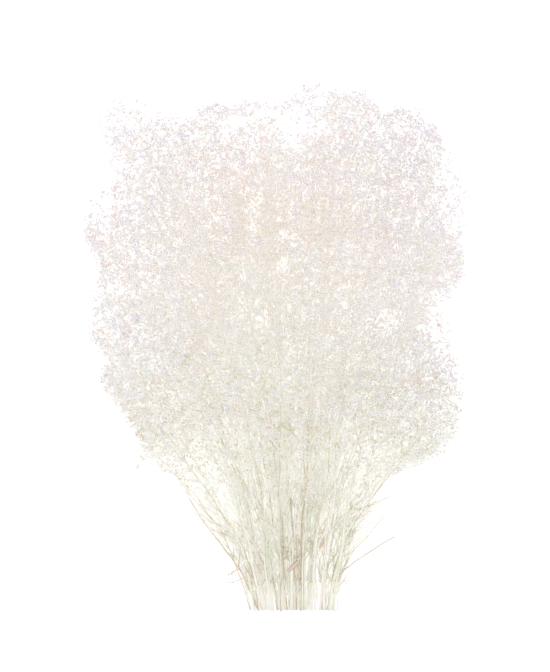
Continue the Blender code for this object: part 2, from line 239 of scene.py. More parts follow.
@dataclass
class Framework:
    """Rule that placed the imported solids: the plan of the bunch and the growth of its branches.

    The finer pieces grow on this framework, so its values and the order of its random draws are
    those of the solids.
    """

    cut_end_y: float = -0.330
    neck: Pair = (-0.026, 0.074)
    top_y: float = 0.330
    cloud_start_y: float = -0.190
    cloud_height: float = 0.236
    cloud_roundness: float = 0.55
    shoulder_length: float = 0.260
    middle_height: float = 0.100
    gap: float = 0.0004
    stem_sides: int = 4
    stem_points: int = 6
    stem_radii: Pair = (0.0018, 0.0010)
    level_run: float = 0.020
    layer_step: float = 0.0082
    stagger: float = 0.5
    left_fan: Pair = (0.30, 1.30)
    right_fan: Pair = (0.20, 1.50)
    rising_fan: Pair = (0.80, 0.35)
    bend: float = 0.34
    branch_sides: int = 3
    branches: int = 3
    long_stem_branches: int = 4
    long_stem_length: float = 0.50
    branch_zone: Pair = (0.56, 0.95)
    branch_jitter: float = 0.3
    branch_lengths: Pair = (0.100, 0.045)
    branch_length_spread: Pair = (0.80, 1.15)
    branch_angles: Pair = (30.0, 50.0)
    branch_radius: float = 0.0009
    twigs_per_branch: int = 2
    twig_forks: Pair = (0.30, 0.62)
    twig_lengths: Pair = (0.026, 0.046)
    twig_angles: Pair = (35.0, 60.0)
    twig_radius: float = 0.00045
    side_spread: float = 18.0
    root_share: float = 0.35
    tries: int = 14
    shorter_each_try: float = 0.03
    deepest_lift: float = 0.030
    floret_radius: float = 0.0150
    floret_radius_spread: float = 0.0015
    petals: int = 5
    notch_depth: float = 0.55
    petal_lift: float = 0.26
    calyx: Pair = (0.30, 0.34)
    petal_reach: float = 0.80
    petal_fullness: float = 0.22
    follow_twig: float = 0.65
    follow_outwards: float = 0.60
    follow_chance: float = 0.20
    outward_y: float = 0.050
    outward_rise: float = 1.6
    leaf_half_width: float = 0.0024
    leaf_angle: float = 40.0
    longest_leaf: float = 0.050
    leaf_zone: Pair = (0.10, 0.34)
    leaf_places: int = 40
    lean_zone: float = 0.50
    leaf_blade: Pair = (0.10, 0.80)
    neck_shares: Triple = (0.12, 0.20, 0.28)
    room: Room = field(default_factory=Room)

    layers: tuple[tuple[Triple, ...], ...] = (
        (
            (-0.196, -0.040, 0.066), (-0.158, 0.104, 0.046), (-0.138, 0.268, 0.034),
            (-0.050, 0.024, 0.040), (-0.010, 0.236, 0.030), (0.044, 0.040, 0.038),
            (0.136, 0.216, 0.032), (0.206, 0.100, 0.062), (0.196, -0.092, 0.064),
        ),
        (
            (-0.160, -0.074, 0.084), (-0.217, 0.160, 0.096), (-0.130, 0.012, 0.062),
            (-0.078, 0.288, 0.094), (-0.014, 0.134, 0.090), (0.050, 0.314, 0.102),
            (0.066, 0.128, 0.094), (0.160, 0.280, 0.100), (0.204, 0.024, 0.098),
        ),
        (
            (-0.216, 0.030, 0.140), (-0.196, 0.290, 0.140), (-0.090, 0.120, 0.150),
            (-0.052, 0.226, 0.152), (-0.018, 0.266, 0.146), (0.078, 0.226, 0.150),
            (0.206, 0.246, 0.140), (0.128, 0.000, 0.146), (0.222, -0.050, 0.112),
        ),
        (
            (-0.092, -0.062, 0.182), (-0.122, 0.214, 0.192), (0.006, -0.060, 0.188),
            (0.010, 0.060, 0.204), (0.104, 0.300, 0.184), (0.124, 0.106, 0.200),
            (0.094, -0.068, 0.184), (0.220, 0.168, 0.164),
        ),
    )
    outline: Rows = (
        (-0.190, -0.095, 0.105), (-0.140, -0.150, 0.175), (-0.110, -0.185, 0.222),
        (-0.040, -0.220, 0.236), (0.030, -0.230, 0.214), (0.080, -0.218, 0.232),
        (0.150, -0.236, 0.236), (0.230, -0.206, 0.230), (0.290, -0.206, 0.190),
        (0.330, -0.215, 0.140),
    )

    def main_stem(self, root: Vector, tip: Vector, level: bool, count: int) -> list[Vector]:
        """Lead a main stem from its cut end to its tip.

        Args:
            root: Middle of its cut end.
            tip: Middle of its highest floret.
            level: Whether it lies level on the surface at first.
            count: Number of points along its curve.

        Returns:
            The points of a short straight run and of a curve that fans out.
        """
        span = tip - root
        fan = self.right_fan if span.x > 0 else self.left_fan
        rise = 0.0 if level else span.z * self.rising_fan[0]
        leaving = Vector((span.x * fan[0], span.y, rise)).normalized()
        ending = Vector((span.x * fan[1], span.y, span.z * self.rising_fan[1])).normalized()
        start = root + leaving * self.level_run
        reach = (tip - start).length * self.bend
        points = [root, start]
        for i in range(1, count):
            t = i / (count - 1)
            points.append(
                start * (1 - t) ** 3
                + (start + leaving * reach) * 3 * t * (1 - t) ** 2
                + (tip - ending * reach) * 3 * t * t * (1 - t)
                + tip * t**3
            )
        return points

    def petal_tip(self, k: int) -> Vector:
        """Return the tip of petal number k on a floret of radius 1 that opens along +Z."""
        angle = -math.pi + math.pi / (2 * self.petals) + k * 2 * math.pi / self.petals
        return Vector((math.cos(angle), math.sin(angle), self.petal_lift))

    def floret_drop(self, facing: Vector, radius: float) -> float:
        """Work out how low a floret hangs.

        Args:
            facing: The way it faces.
            radius: Its radius.

        Returns:
            How far its lowest point lies below its centre.
        """
        turn = facing.to_track_quat("Z", "Y").to_matrix()
        corners = [self.petal_tip(k) for k in range(self.petals)]
        corners.append(Vector((-self.calyx[0], 0.0, -self.calyx[1])))
        return -min((turn @ corner).z for corner in corners) * radius

    def floret_rods(self, facing: Vector, centre: Vector, radius: float) -> list[Arm]:
        """Fill a floret with round-ended rods.

        Args:
            facing: The way it opens.
            centre: Its middle.
            radius: Its radius.

        Returns:
            A rod for its cup and one for each petal: start, end and radius.
        """
        turn = facing.to_track_quat("Z", "Y").to_matrix()
        rods = [(centre, centre, radius * self.notch_depth)]
        for k in range(self.petals):
            reach = turn @ self.petal_tip(k) * radius * self.petal_reach
            rods.append((centre, centre + reach, radius * self.petal_fullness))
        return rods

    def facing_of(self, centre: Vector, heading: Vector, chance: Vector) -> Vector:
        """Choose the way a floret opens.

        Args:
            centre: Its middle.
            heading: Direction of its twig.
            chance: Random stray.

        Returns:
            The direction that it opens in, of length 1.
        """
        lift = (centre.z - self.middle_height) * self.outward_rise
        outwards = Vector((centre.x, self.outward_y, lift)).normalized()
        facing = heading * self.follow_twig + outwards * self.follow_outwards
        return (facing + chance * self.follow_chance).normalized()

    def roof_at(self, x: float, y: float) -> float:
        """Find the rounded top of the cloud over a place.

        Args:
            x: How far the place is to the right.
            y: How far it is along the bunch.

        Returns:
            The height of the top there.
        """
        left, right = row_at(self.outline, y)
        middle = (left + right) / 2
        sideways = (x - middle) / (right - middle)
        rise = min(1.0, (y - self.cut_end_y) / self.shoulder_length)
        roundness = math.sqrt(max(0.0, 1.0 - self.cloud_roundness * sideways**2))
        return self.cloud_height * rise * roundness

    def inside_cloud(self, centre: Vector, radius: float) -> bool:
        """Tell whether a floret stays inside the rounded cloud of the bunch.

        Args:
            centre: Its centre.
            radius: Its radius.

        Returns:
            True where all of it is inside.
        """
        if not self.cloud_start_y <= centre.y <= self.top_y - radius:
            return False
        left, right = row_at(self.outline, centre.y)
        if not left + radius <= centre.x <= right - radius:
            return False
        return centre.z <= self.roof_at(centre.x, centre.y) - radius

    def grow_floret(
        self, stem: FrameStem, root: Vector, heading: Vector, length: float, radius: float,
        parent: int | None,
    ) -> bool:
        """Add a rod with a floret on its end, where there is room for them.

        Args:
            stem: The stem that they grow on.
            root: Where the rod starts.
            heading: Its direction.
            length: Its length.
            radius: Its radius.
            parent: Index of the rod that it grows from, or None for the main stem.

        Returns:
            Whether there was room.
        """
        chance, room = stem.draws.uniform, self.room
        size = self.floret_radius + self.floret_radius_spread * chance(-1, 1)
        stray = Vector([chance(-1, 1) for _ in range(3)])
        centre = root + heading * length
        facing = self.facing_of(centre, heading, stray)
        drop = self.floret_drop(facing, size)
        if centre.z < drop - self.deepest_lift:
            return False
        centre.z = max(centre.z, drop)
        if not self.inside_cloud(centre, size):
            return False
        outer_root = root.lerp(centre, self.root_share)
        if room.clearance(root, centre, radius, stem.number) < self.gap:
            return False
        if room.clearance(outer_root, centre, radius) < self.gap:
            return False
        petals = self.floret_rods(facing, centre, size)
        if min(room.clearance(*petal) for petal in petals) < self.gap:
            return False
        stem.rods.append(Rod(root, centre, parent))
        stem.florets.append((facing, centre, size))
        for rod in ((root, centre, radius), *petals):
            room.add(stem.number, *rod)
        return True

    def grow_branch(self, stem: FrameStem, share: float) -> int | None:
        """Grow a side branch.

        Args:
            stem: The stem that it grows on.
            share: How far along the main stem it starts.

        Returns:
            The index of its rod, or None with no room.
        """
        root, direction, _ = stem.at(share)
        chance = stem.draws.uniform
        fade = (share - self.branch_zone[0]) / (self.branch_zone[1] - self.branch_zone[0])
        side = direction.cross(Vector((0.0, 0.0, 1.0))).normalized()
        first = stem.draws.randrange(self.stem_sides)
        for i in range(self.tries):
            angle = chance(*self.branch_angles)
            length = lerp(*self.branch_lengths, fade) * chance(*self.branch_length_spread)
            length *= 1.0 - self.shorter_each_try * i
            turn = (first + i) * 360 / self.stem_sides
            turn += chance(-self.side_spread, self.side_spread)
            heading = leaned(direction, side, angle, turn)
            if self.grow_floret(stem, root, heading, length, self.branch_radius, None):
                return len(stem.rods) - 1
        return None

    def grow_twigs(self, stem: FrameStem, branch: int) -> None:
        """Grow twigs with a floret each out of one side branch.

        Args:
            stem: The stem that they grow on.
            branch: Index of the branch's rod.
        """
        root, end = stem.rods[branch].start, stem.rods[branch].end
        chance = stem.draws.uniform
        direction = (end - root).normalized()
        half_side = math.pi / (2 * self.branch_sides)
        flat_side = Vector((math.cos(half_side), math.sin(half_side), 0.0))
        side = direction.to_track_quat("Z", "Y") @ flat_side
        first = stem.draws.randrange(self.branch_sides)
        for k in range(self.twigs_per_branch):
            fork = root.lerp(end, lerp(*self.twig_forks, k / (self.twigs_per_branch - 1)))
            for i in range(self.tries):
                angle, length = chance(*self.twig_angles), chance(*self.twig_lengths)
                turn = (first + k + i) * 360 / self.branch_sides
                turn += chance(-self.side_spread, self.side_spread)
                heading = leaned(direction, side, angle, turn)
                if self.grow_floret(stem, fork, heading, length, self.twig_radius, branch):
                    break

    def lean_leaf(self, stem: FrameStem, other: FrameStem) -> bool:
        """Lean a lance leaf of one stem on another.

        Args:
            stem: The stem that the leaf grows on.
            other: The stem that its point leans on.

        Returns:
            Whether there was room for it.
        """
        angle = math.radians(self.leaf_angle)
        shares = [self.lean_zone * j / self.leaf_places for j in range(1, self.leaf_places)]
        for i in range(self.leaf_places):
            root, direction, _ = stem.at(lerp(*self.leaf_zone, i / (self.leaf_places - 1)))
            target, along, radius = min(
                (other.at(share) for share in shares),
                key=lambda place: abs((place[0] - root).angle(direction) - angle),
            )
            away = root - target
            away -= along * away.dot(along)
            tip = target + away.normalized() * (radius + self.gap)
            if (tip - root).length > self.longest_leaf:
                continue
            inner, outer = (root.lerp(tip, share) for share in self.leaf_blade)
            if self.room.clearance(inner, outer, self.leaf_half_width, stem.number) < self.gap:
                continue
            stem.leaves.append((root, tip))
            self.room.add(stem.number, root, outer, self.leaf_half_width)
            return True
        return False

    def link_stems(self, stems: list[FrameStem]) -> None:
        """Lean every stem on a neighbour with a leaf.

        Args:
            stems: All stems of the bunch.
        """
        joined, waiting, shares = [stems[0]], stems[1:], self.neck_shares
        while waiting:
            pairs = sorted(
                (min((a.at(s)[0] - b.at(s)[0]).length for s in shares), a.number, b.number)
                for a in joined
                for b in waiting
            )
            for _, a, b in pairs:
                here, there = stems[a - 1], stems[b - 1]
                if self.lean_leaf(there, here) or self.lean_leaf(here, there):
                    joined.append(there)
                    waiting.remove(there)
                    break
            else:
                raise ValueError("no stem that is left stands near enough to lean on another")

    def plan_stems(self) -> list[FrameStem]:
        """Plan the main stems, side by side in each layer of the neck.

        Returns:
            The bare stems.
        """
        stems = []
        lowest = self.stem_radii[0] * math.cos(math.pi / self.stem_sides)
        for layer, tips in enumerate(self.layers):
            for i, tip in enumerate(tips):
                share = (i + self.stagger * (layer % 2)) / (len(tips) - self.stagger)
                height = lowest + self.layer_step * layer
                root = Vector((lerp(*self.neck, share), self.cut_end_y, height))
                points = self.main_stem(root, Vector(tip), layer == 0, self.stem_points)
                last = len(points) - 2
                radii = [lerp(*self.stem_radii, max(0, k - 1) / last) for k in range(len(points))]
                stems.append(FrameStem(len(stems) + 1, Vector(tip), points, radii, layer == 0))
        return stems

    def grow(self) -> list[FrameStem]:
        """Grow the stems in turn, one branch each time, so that they share the room.

        Returns:
            The grown stems, in the order of their numbers.
        """
        stems = self.plan_stems()
        for stem in stems:
            for i in range(len(stem.steps)):
                self.room.add(stem.number, stem.points[i], stem.points[i + 1], stem.radii[i])
        self.link_stems(stems)
        for stem in stems:
            facing = self.facing_of(stem.tip, stem.at(1.0)[1], Vector())
            stem.florets.append((facing, stem.tip, self.floret_radius))
            for petal in self.floret_rods(facing, stem.tip, self.floret_radius):
                self.room.add(stem.number, *petal)
        branches = []
        for k in range(self.long_stem_branches):
            for stem in stems:
                long_one = stem.length > self.long_stem_length
                count = self.long_stem_branches if long_one else self.branches
                if k >= count:
                    continue
                jitter = stem.draws.uniform(-self.branch_jitter, self.branch_jitter)
                branch = self.grow_branch(stem, lerp(*self.branch_zone, (k + jitter) / (count - 1)))
                if branch is not None:
                    branches.append((stem, branch))
        for stem, branch in branches:
            self.grow_twigs(stem, branch)
        return stems


@dataclass
class Cloud:
    """The bunch as the camera sees it: its outline, and how full of blooms each place of it is.

    Places nearer the camera look larger, so each is first moved out to where it is seen. The full
    outline is a little ragged. A clearing is an oval: its middle, its half widths and how full of
    blooms it is. Its edge fades.
    """

    eye: Triple = (0.0, 0.0165, 4.770)
    seen_height: float = 0.110
    ragged: float = 0.004
    sides: Rows = (
        (-0.201, -0.084, 0.115), (-0.186, -0.111, 0.121), (-0.161, -0.120, 0.130),
        (-0.137, -0.167, 0.195), (-0.112, -0.164, 0.220), (-0.087, -0.182, 0.226),
        (-0.063, -0.198, 0.231), (-0.038, -0.221, 0.235), (-0.013, -0.205, 0.221),
        (0.012, -0.230, 0.216), (0.036, -0.226, 0.210), (0.061, -0.224, 0.213),
        (0.086, -0.216, 0.230), (0.110, -0.220, 0.232), (0.135, -0.235, 0.236),
        (0.185, -0.230, 0.234), (0.209, -0.200, 0.232), (0.259, -0.205, 0.219),
        (0.283, -0.216, 0.189), (0.308, -0.220, 0.167), (0.333, -0.216, 0.130),
    )
    top: Rows = (
        (-0.225, 0.293), (-0.204, 0.308), (-0.173, 0.309), (-0.152, 0.297), (-0.120, 0.282),
        (-0.105, 0.282), (-0.087, 0.301), (-0.070, 0.305), (-0.053, 0.298), (-0.040, 0.308),
        (0.000, 0.302), (0.019, 0.307), (0.032, 0.324), (0.056, 0.330), (0.078, 0.318),
        (0.093, 0.317), (0.111, 0.318), (0.125, 0.302), (0.137, 0.286), (0.150, 0.300),
        (0.185, 0.293), (0.197, 0.275), (0.216, 0.246), (0.237, 0.201),
    )
    clearings: Rows = (
        (-0.185, 0.290, 0.049, 0.023, 0.40), (-0.061, 0.270, 0.010, 0.009, 0.05),
        (-0.011, 0.286, 0.036, 0.014, 0.30), (0.053, 0.309, 0.032, 0.019, 0.55),
        (0.037, 0.274, 0.030, 0.012, 0.12), (0.016, 0.261, 0.014, 0.020, 0.30),
        (-0.026, 0.166, 0.009, 0.032, 0.40), (0.006, 0.098, 0.016, 0.014, 0.50),
        (-0.021, 0.045, 0.030, 0.023, 0.72), (0.044, 0.034, 0.014, 0.012, 0.70),
        (0.140, 0.034, 0.021, 0.017, 0.45), (0.213, 0.034, 0.030, 0.047, 0.30),
        (0.224, 0.199, 0.020, 0.059, 0.55), (-0.195, 0.077, 0.016, 0.011, 0.25),
        (-0.155, 0.082, 0.014, 0.007, 0.45), (-0.155, 0.005, 0.026, 0.027, 0.85),
        (-0.060, -0.135, 0.075, 0.055, 0.52), (0.070, -0.135, 0.070, 0.050, 0.52),
        (-0.042, -0.098, 0.009, 0.009, 0.15), (-0.214, 0.201, 0.020, 0.044, 0.60),
    )
    clearing_core: float = 0.7
    clearing_edge: float = 1.3
    clearing_fade: float = 0.6
    thinning: Pair = (-0.100, -0.200)
    lowest_fullness: float = 0.10

    def seen(self, place: Vector) -> Pair:
        """Look at a place from the camera.

        Args:
            place: The place.

        Returns:
            The x and y that it hides, at the seen height.
        """
        near = (self.eye[2] - self.seen_height) / (self.eye[2] - place.z)
        x = self.eye[0] + (place.x - self.eye[0]) * near
        return x, self.eye[1] + (place.y - self.eye[1]) * near

    def holds(self, place: Vector, stray: float = 0.0) -> bool:
        """Tell whether a place is seen inside the outline.

        Args:
            place: The place.
            stray: Random share from -1 to 1 that makes the outline ragged.

        Returns:
            Whether the outline holds it.
        """
        x, y = self.seen(place)
        margin = self.ragged * stray
        (top,) = row_at(self.top, max(x, self.top[0][0]))
        if y < self.sides[0][0] or y > top + margin:
            return False
        left, right = row_at(self.sides, y)
        return left - margin <= x <= right + margin

    def fullness(self, place: Vector) -> float:
        """Find how full of blooms the bunch is at a place.

        Args:
            place: The place.

        Returns:
            The fullness, from 0 to 1.
        """
        x, y = self.seen(place)
        full = 1.0
        for middle_x, middle_y, half_x, half_y, least in self.clearings:
            away = math.hypot((x - middle_x) / half_x, (y - middle_y) / half_y)
            if away < self.clearing_edge:
                outwards = max(0.0, away - self.clearing_core) / self.clearing_fade
                full = min(full, lerp(least, 1.0, outwards))
        if y < self.thinning[0]:
            fade = min(1.0, (self.thinning[0] - y) / (self.thinning[0] - self.thinning[1]))
            full *= lerp(1.0, self.lowest_fullness, fade)
        return full


@dataclass
class Crowd:
    """Count of the blooms that stand over each square of the surface, as the camera sees them."""

    cloud: Cloud
    square: float = 0.008
    wanted: float = 17.5
    surface: Pair = (0.60, 0.80)
    total: int = 0

    def __post_init__(self) -> None:
        """Start with empty squares."""
        self.counts = np.zeros([int(side / self.square) for side in self.surface])

    def index(self, place: Vector) -> tuple[int, int]:
        """Find the square that a place is seen in, which is never one at the edge.

        Args:
            place: The place.

        Returns:
            Its column and row.
        """
        column, row = (
            min(max(int(at / self.square + count / 2), 1), count - 2)
            for at, count in zip(self.cloud.seen(place), self.counts.shape)
        )
        return column, row

    def add(self, place: Vector) -> None:
        """Count one more bloom at a place."""
        self.counts[self.index(place)] += 1
        self.total += 1

    def need(self, place: Vector) -> float:
        """Compare the blooms around a place with what is wanted there.

        Args:
            place: The place.

        Returns:
            How many more are wanted in its square and those next to it, on average.
        """
        column, row = self.index(place)
        around = self.counts[column - 1 : column + 2, row - 1 : row + 2]
        return self.wanted * self.cloud.fullness(place) - float(around.mean())

    def packed(self, place: Vector, most: float) -> bool:
        """Tell whether a square holds more than so many times the wanted blooms."""
        return self.counts[self.index(place)] > most * self.wanted * self.cloud.fullness(place)


class Kind(Enum):
    """How far a bloom has opened."""

    DOUBLE = "double"
    OPEN = "open"
    HALF_OPEN = "half open"
    BUD = "bud"


class Tone(Enum):
    """Colour of a stalk, by how it dried. Brown in the middle of the neck is partly painted shade.
    """

    STRAW = 0
    GREEN = 1
    BROWN = 2


Tones = tuple[tuple[Tone, float], ...]


@dataclass
class Line:
    """Smooth stalk: its points, its radius at each of them and its tone."""

    points: list[Vector]
    radii: list[float]
    tone: Tone

    def nearest(self, place: Vector) -> int:
        """Return the index of the point nearest a place."""
        return min(range(len(self.points)), key=lambda i: (self.points[i] - place).length_squared)

    def distance(self, place: Vector) -> float:
        """Return how far a place is from the points of the stalk."""
        return (self.points[self.nearest(place)] - place).length

    def heading(self, index: int) -> Vector:
        """Find the direction of the stalk at one of its points.

        Args:
            index: Number of the point.

        Returns:
            The direction, of length 1.
        """
        last = len(self.points) - 1
        before, after = self.points[max(index - 1, 0)], self.points[min(index + 1, last)]
        return (after - before).normalized()


@dataclass
class Copy:
    """One copy of a small shape: its place, its axis, its sizes across and along, and its shade."""

    place: Vector
    axis: Vector
    size: Triple
    spin: float
    shade: float


@dataclass
class Growth:
    """Sizes and habits of the fine growth."""

    # Tones: the main stems are brown under the middle of the neck, partly real brown and partly
    # painted shade of the deep stacked stems there, and twigs are greener low down.
    brown_and_shade_roots: Pair = (0.20, 0.60)
    middle_tones_with_shade: Tones = ((Tone.BROWN, 0.5), (Tone.GREEN, 0.75), (Tone.STRAW, 1.0))
    outer_tones: Tones = ((Tone.GREEN, 0.5), (Tone.STRAW, 0.95), (Tone.BROWN, 1.0))
    green_shares: Pair = (0.80, 0.20)
    green_fade_y: float = -0.12
    green_fade_run: float = 0.22
    brown_shoots: float = 0.12
    brown_bare_twigs: float = 0.15

    # Main stems: each wavers in two waves each way, thins upwards and has a thicker node now and
    # then.
    line_step: float = 0.016
    least_steps: int = 8
    wobble: float = 0.0017
    wobble_run: int = 3
    waves: tuple[tuple[int, int, int], ...] = ((0, 9, 25), (2, 8, 23))
    ripple: float = 0.6
    stem_radii: Pair = (0.00125, 0.00045)
    thickness: Pair = (0.65, 1.10)
    taper: float = 0.8
    knuckle: float = 1.12
    knuckle_every: int = 4
    pulled_back: float = 0.5

    # Branches and twigs: each leaves a little along its parent and bows over.
    branch_radii: Pair = (0.00060, 0.00034)
    twig_radii: Pair = (0.00034, 0.00024)
    bow: float = 0.07
    lead: float = 0.5
    parent_pull: float = 0.3
    spray_start: float = 0.017
    most_spray_share: float = 0.6

    # Sprays: every stalk forks around a middle bloom, and the last stalks end in one each.
    spray_step: float = 0.0105
    spray_shrink: float = 0.74
    spray_angles: Pair = (26.0, 50.0)
    spray_twist: float = 16.0
    spray_steps: Pair = (0.8, 1.2)
    middle_steps: Pair = (0.55, 0.85)
    middle_stray: float = 0.12
    fork_radius: float = 0.00022
    fork_thickening: float = 0.2
    lowest_fork: float = 0.001
    pedicel_radius: float = 0.00016
    missing: float = 0.07
    head_levels: int = 3
    head_facing: float = 0.5
    head_stray: float = 0.1
    thin_head: float = 0.35

    # Side shoots: each takes the emptiest of a few places.
    shoot_levels: int = 2
    shoot_lengths: Pair = (0.014, 0.050)
    shoot_angles: Pair = (28.0, 58.0)
    shoot_pull: float = 0.4
    lowest_shoot: float = 0.004
    stem_nodes: Pair = (0.46, 0.985)
    node_spacing: float = 0.020
    least_need: float = 2.0
    most_packed: float = 1.35
    most_blooms: int = 44300
    rounds: int = 6
    looks: int = 7

    # Blooms: each kind with its share and its radii, on the outside and deep inside.
    kinds: tuple[tuple[Kind, float, Pair], ...] = (
        (Kind.DOUBLE, 0.12, (0.0017, 0.0021)),
        (Kind.OPEN, 0.30, (0.0017, 0.0021)),
        (Kind.HALF_OPEN, 0.39, (0.0014, 0.0018)),
        (Kind.BUD, 0.19, (0.0008, 0.0011)),
    )
    inner_kinds: tuple[tuple[Kind, float, Pair], ...] = (
        (Kind.HALF_OPEN, 0.80, (0.0016, 0.0021)),
        (Kind.BUD, 0.20, (0.0009, 0.0012)),
    )
    inner_depth: float = 0.035
    bloom_stray: float = 0.6
    lowest_bloom: float = 1.5
    highest_bloom: float = 0.3

    # Neck: thin shoots from the cut ends cross the stems, and carry short bare twigs.
    neck_shoots: int = 4
    neck_shoot_radii: Pair = (0.00062, 0.00028)
    neck_shoot_roots: Pair = (0.0, 0.0060)
    neck_shoot_lift: float = 0.006
    neck_shoot_widths: Pair = (0.004, 0.030)
    neck_shoot_wander: float = 0.0030
    neck_shoot_waves: Pair = (15, 11)
    neck_shoot_easing: int = 3
    neck_shoot_flare: float = 1.3
    neck_shoot_ends: Pair = (0.45, 0.80)
    neck_shoot_rises: Pair = (0.0, 0.040)
    neck_shoot_cover: float = 0.002
    neck_shoot_look: float = 0.01
    outer_shoot_widths: Pair = (0.015, 0.050)
    outer_from: float = 0.28
    bare_twig_zone: Pair = (0.0, 0.58)
    bare_twigs: int = 34
    bare_twig_lengths: Pair = (0.012, 0.046)
    bare_twig_angles: Pair = (16.0, 46.0)
    bare_twig_radius: float = 0.00040
    bare_twig_thickness: Pair = (0.8, 1.3)
    bare_twig_slope: float = 0.8
    bare_twig_forks: int = 4
    outward: float = 0.65
    side_twig_angles: Pair = (22, 52)
    side_twig_twist: float = 50
    side_twig_roots: Pair = (0.3, 0.95)
    side_twig_lengths: Pair = (0.2, 0.45)
    side_twig_thickness: float = 0.6
    lowest_side_twig: float = 0.002
    side_twig_buds: float = 0.3
    side_bud_radii: Pair = (0.0007, 0.0010)

    # Leaves.
    leaf_lengths: Pair = (0.006, 0.014)
    leaf_widths: Pair = (0.0005, 0.0009)
    leaf_nodes: Pair = (0.10, 0.42)
    leaf_angles: Pair = (14, 42)
    leaf_spacing: float = 0.032
    leaf_share: float = 0.30
    leaf_spins: Pair = (0, 6.3)
    leaning_leaf_width: float = 0.0008
    leaning_leaf_reach: float = 0.97


@dataclass(frozen=True)
class StrayTwig:
    """Twig that stands clear of the bunch: its tone, radius and places, and its leafy sprigs."""

    tone: Tone
    radius: float
    places: tuple[Triple, ...]
    sprigs: tuple[Triple, ...] = ()
    taper: float = 0.75
    sprig_thickness: float = 0.7
    leaf_roots: tuple[float, ...] = (0.45, 0.7, 0.9, 1.0)
    leaf_stray: float = 0.8
    leaf_width: float = 0.0009
    leaf_lengths: Pair = (0.003, 0.006)
    leaf_shade: float = 0.2


STRAY_TWIGS = (
    StrayTwig(
        Tone.BROWN, 0.00082,
        ((-0.021, -0.329, 0.010), (-0.038, -0.288, 0.012), (-0.046, -0.277, 0.014),
         (-0.044, -0.250, 0.020), (-0.041, -0.233, 0.026)),
        ((-0.058, -0.284, 0.010), (-0.055, -0.295, 0.010)),
    ),
    StrayTwig(
        Tone.BROWN, 0.00078,
        ((-0.022, -0.329, 0.006), (-0.044, -0.279, 0.008), (-0.068, -0.246, 0.012),
         (-0.090, -0.218, 0.016), (-0.108, -0.188, 0.022)),
    ),
    StrayTwig(
        Tone.BROWN, 0.00078,
        ((0.078, -0.286, 0.020), (0.100, -0.268, 0.022), (0.121, -0.254, 0.024),
         (0.138, -0.243, 0.026), (0.150, -0.236, 0.028)),
    ),
    StrayTwig(
        Tone.GREEN, 0.00078,
        ((-0.100, -0.128, 0.110), (-0.126, -0.128, 0.104), (-0.148, -0.130, 0.098),
         (-0.164, -0.137, 0.092), (-0.176, -0.149, 0.084)),
        ((-0.170, -0.148, 0.086),),
    ),
    StrayTwig(
        Tone.BROWN, 0.00070,
        ((0.168, 0.012, 0.100), (0.186, 0.008, 0.102), (0.204, 0.009, 0.103),
         (0.219, 0.008, 0.103)),
    ),
    StrayTwig(
        Tone.BROWN, 0.00060,
        ((-0.200, 0.240, 0.070), (-0.212, 0.262, 0.072), (-0.220, 0.284, 0.074),
         (-0.217, 0.301, 0.074), (-0.208, 0.305, 0.072)),
    ),
    StrayTwig(
        Tone.GREEN, 0.00045,
        ((0.046, -0.262, 0.080), (0.049, -0.246, 0.084), (0.050, -0.232, 0.086)),
        ((0.058, -0.236, 0.088), (0.040, -0.238, 0.088), (0.055, -0.226, 0.088)),
    ),
)


@dataclass(frozen=True)
class LooseLeaf:
    """Broad curled leaf that lies on the bunch: its root and its tip across, and its width."""

    root: Pair
    tip: Pair
    width: float
    tip_rise: float = 0.002
    spin: float = 0.4
    shade: float = 0.97
    rests_on: float = 0.010


LOOSE_LEAVES = (
    LooseLeaf((0.0150, -0.2790), (0.0300, -0.2640), 0.0032),
    LooseLeaf((0.0560, -0.2500), (0.0600, -0.2360), 0.0020),
)


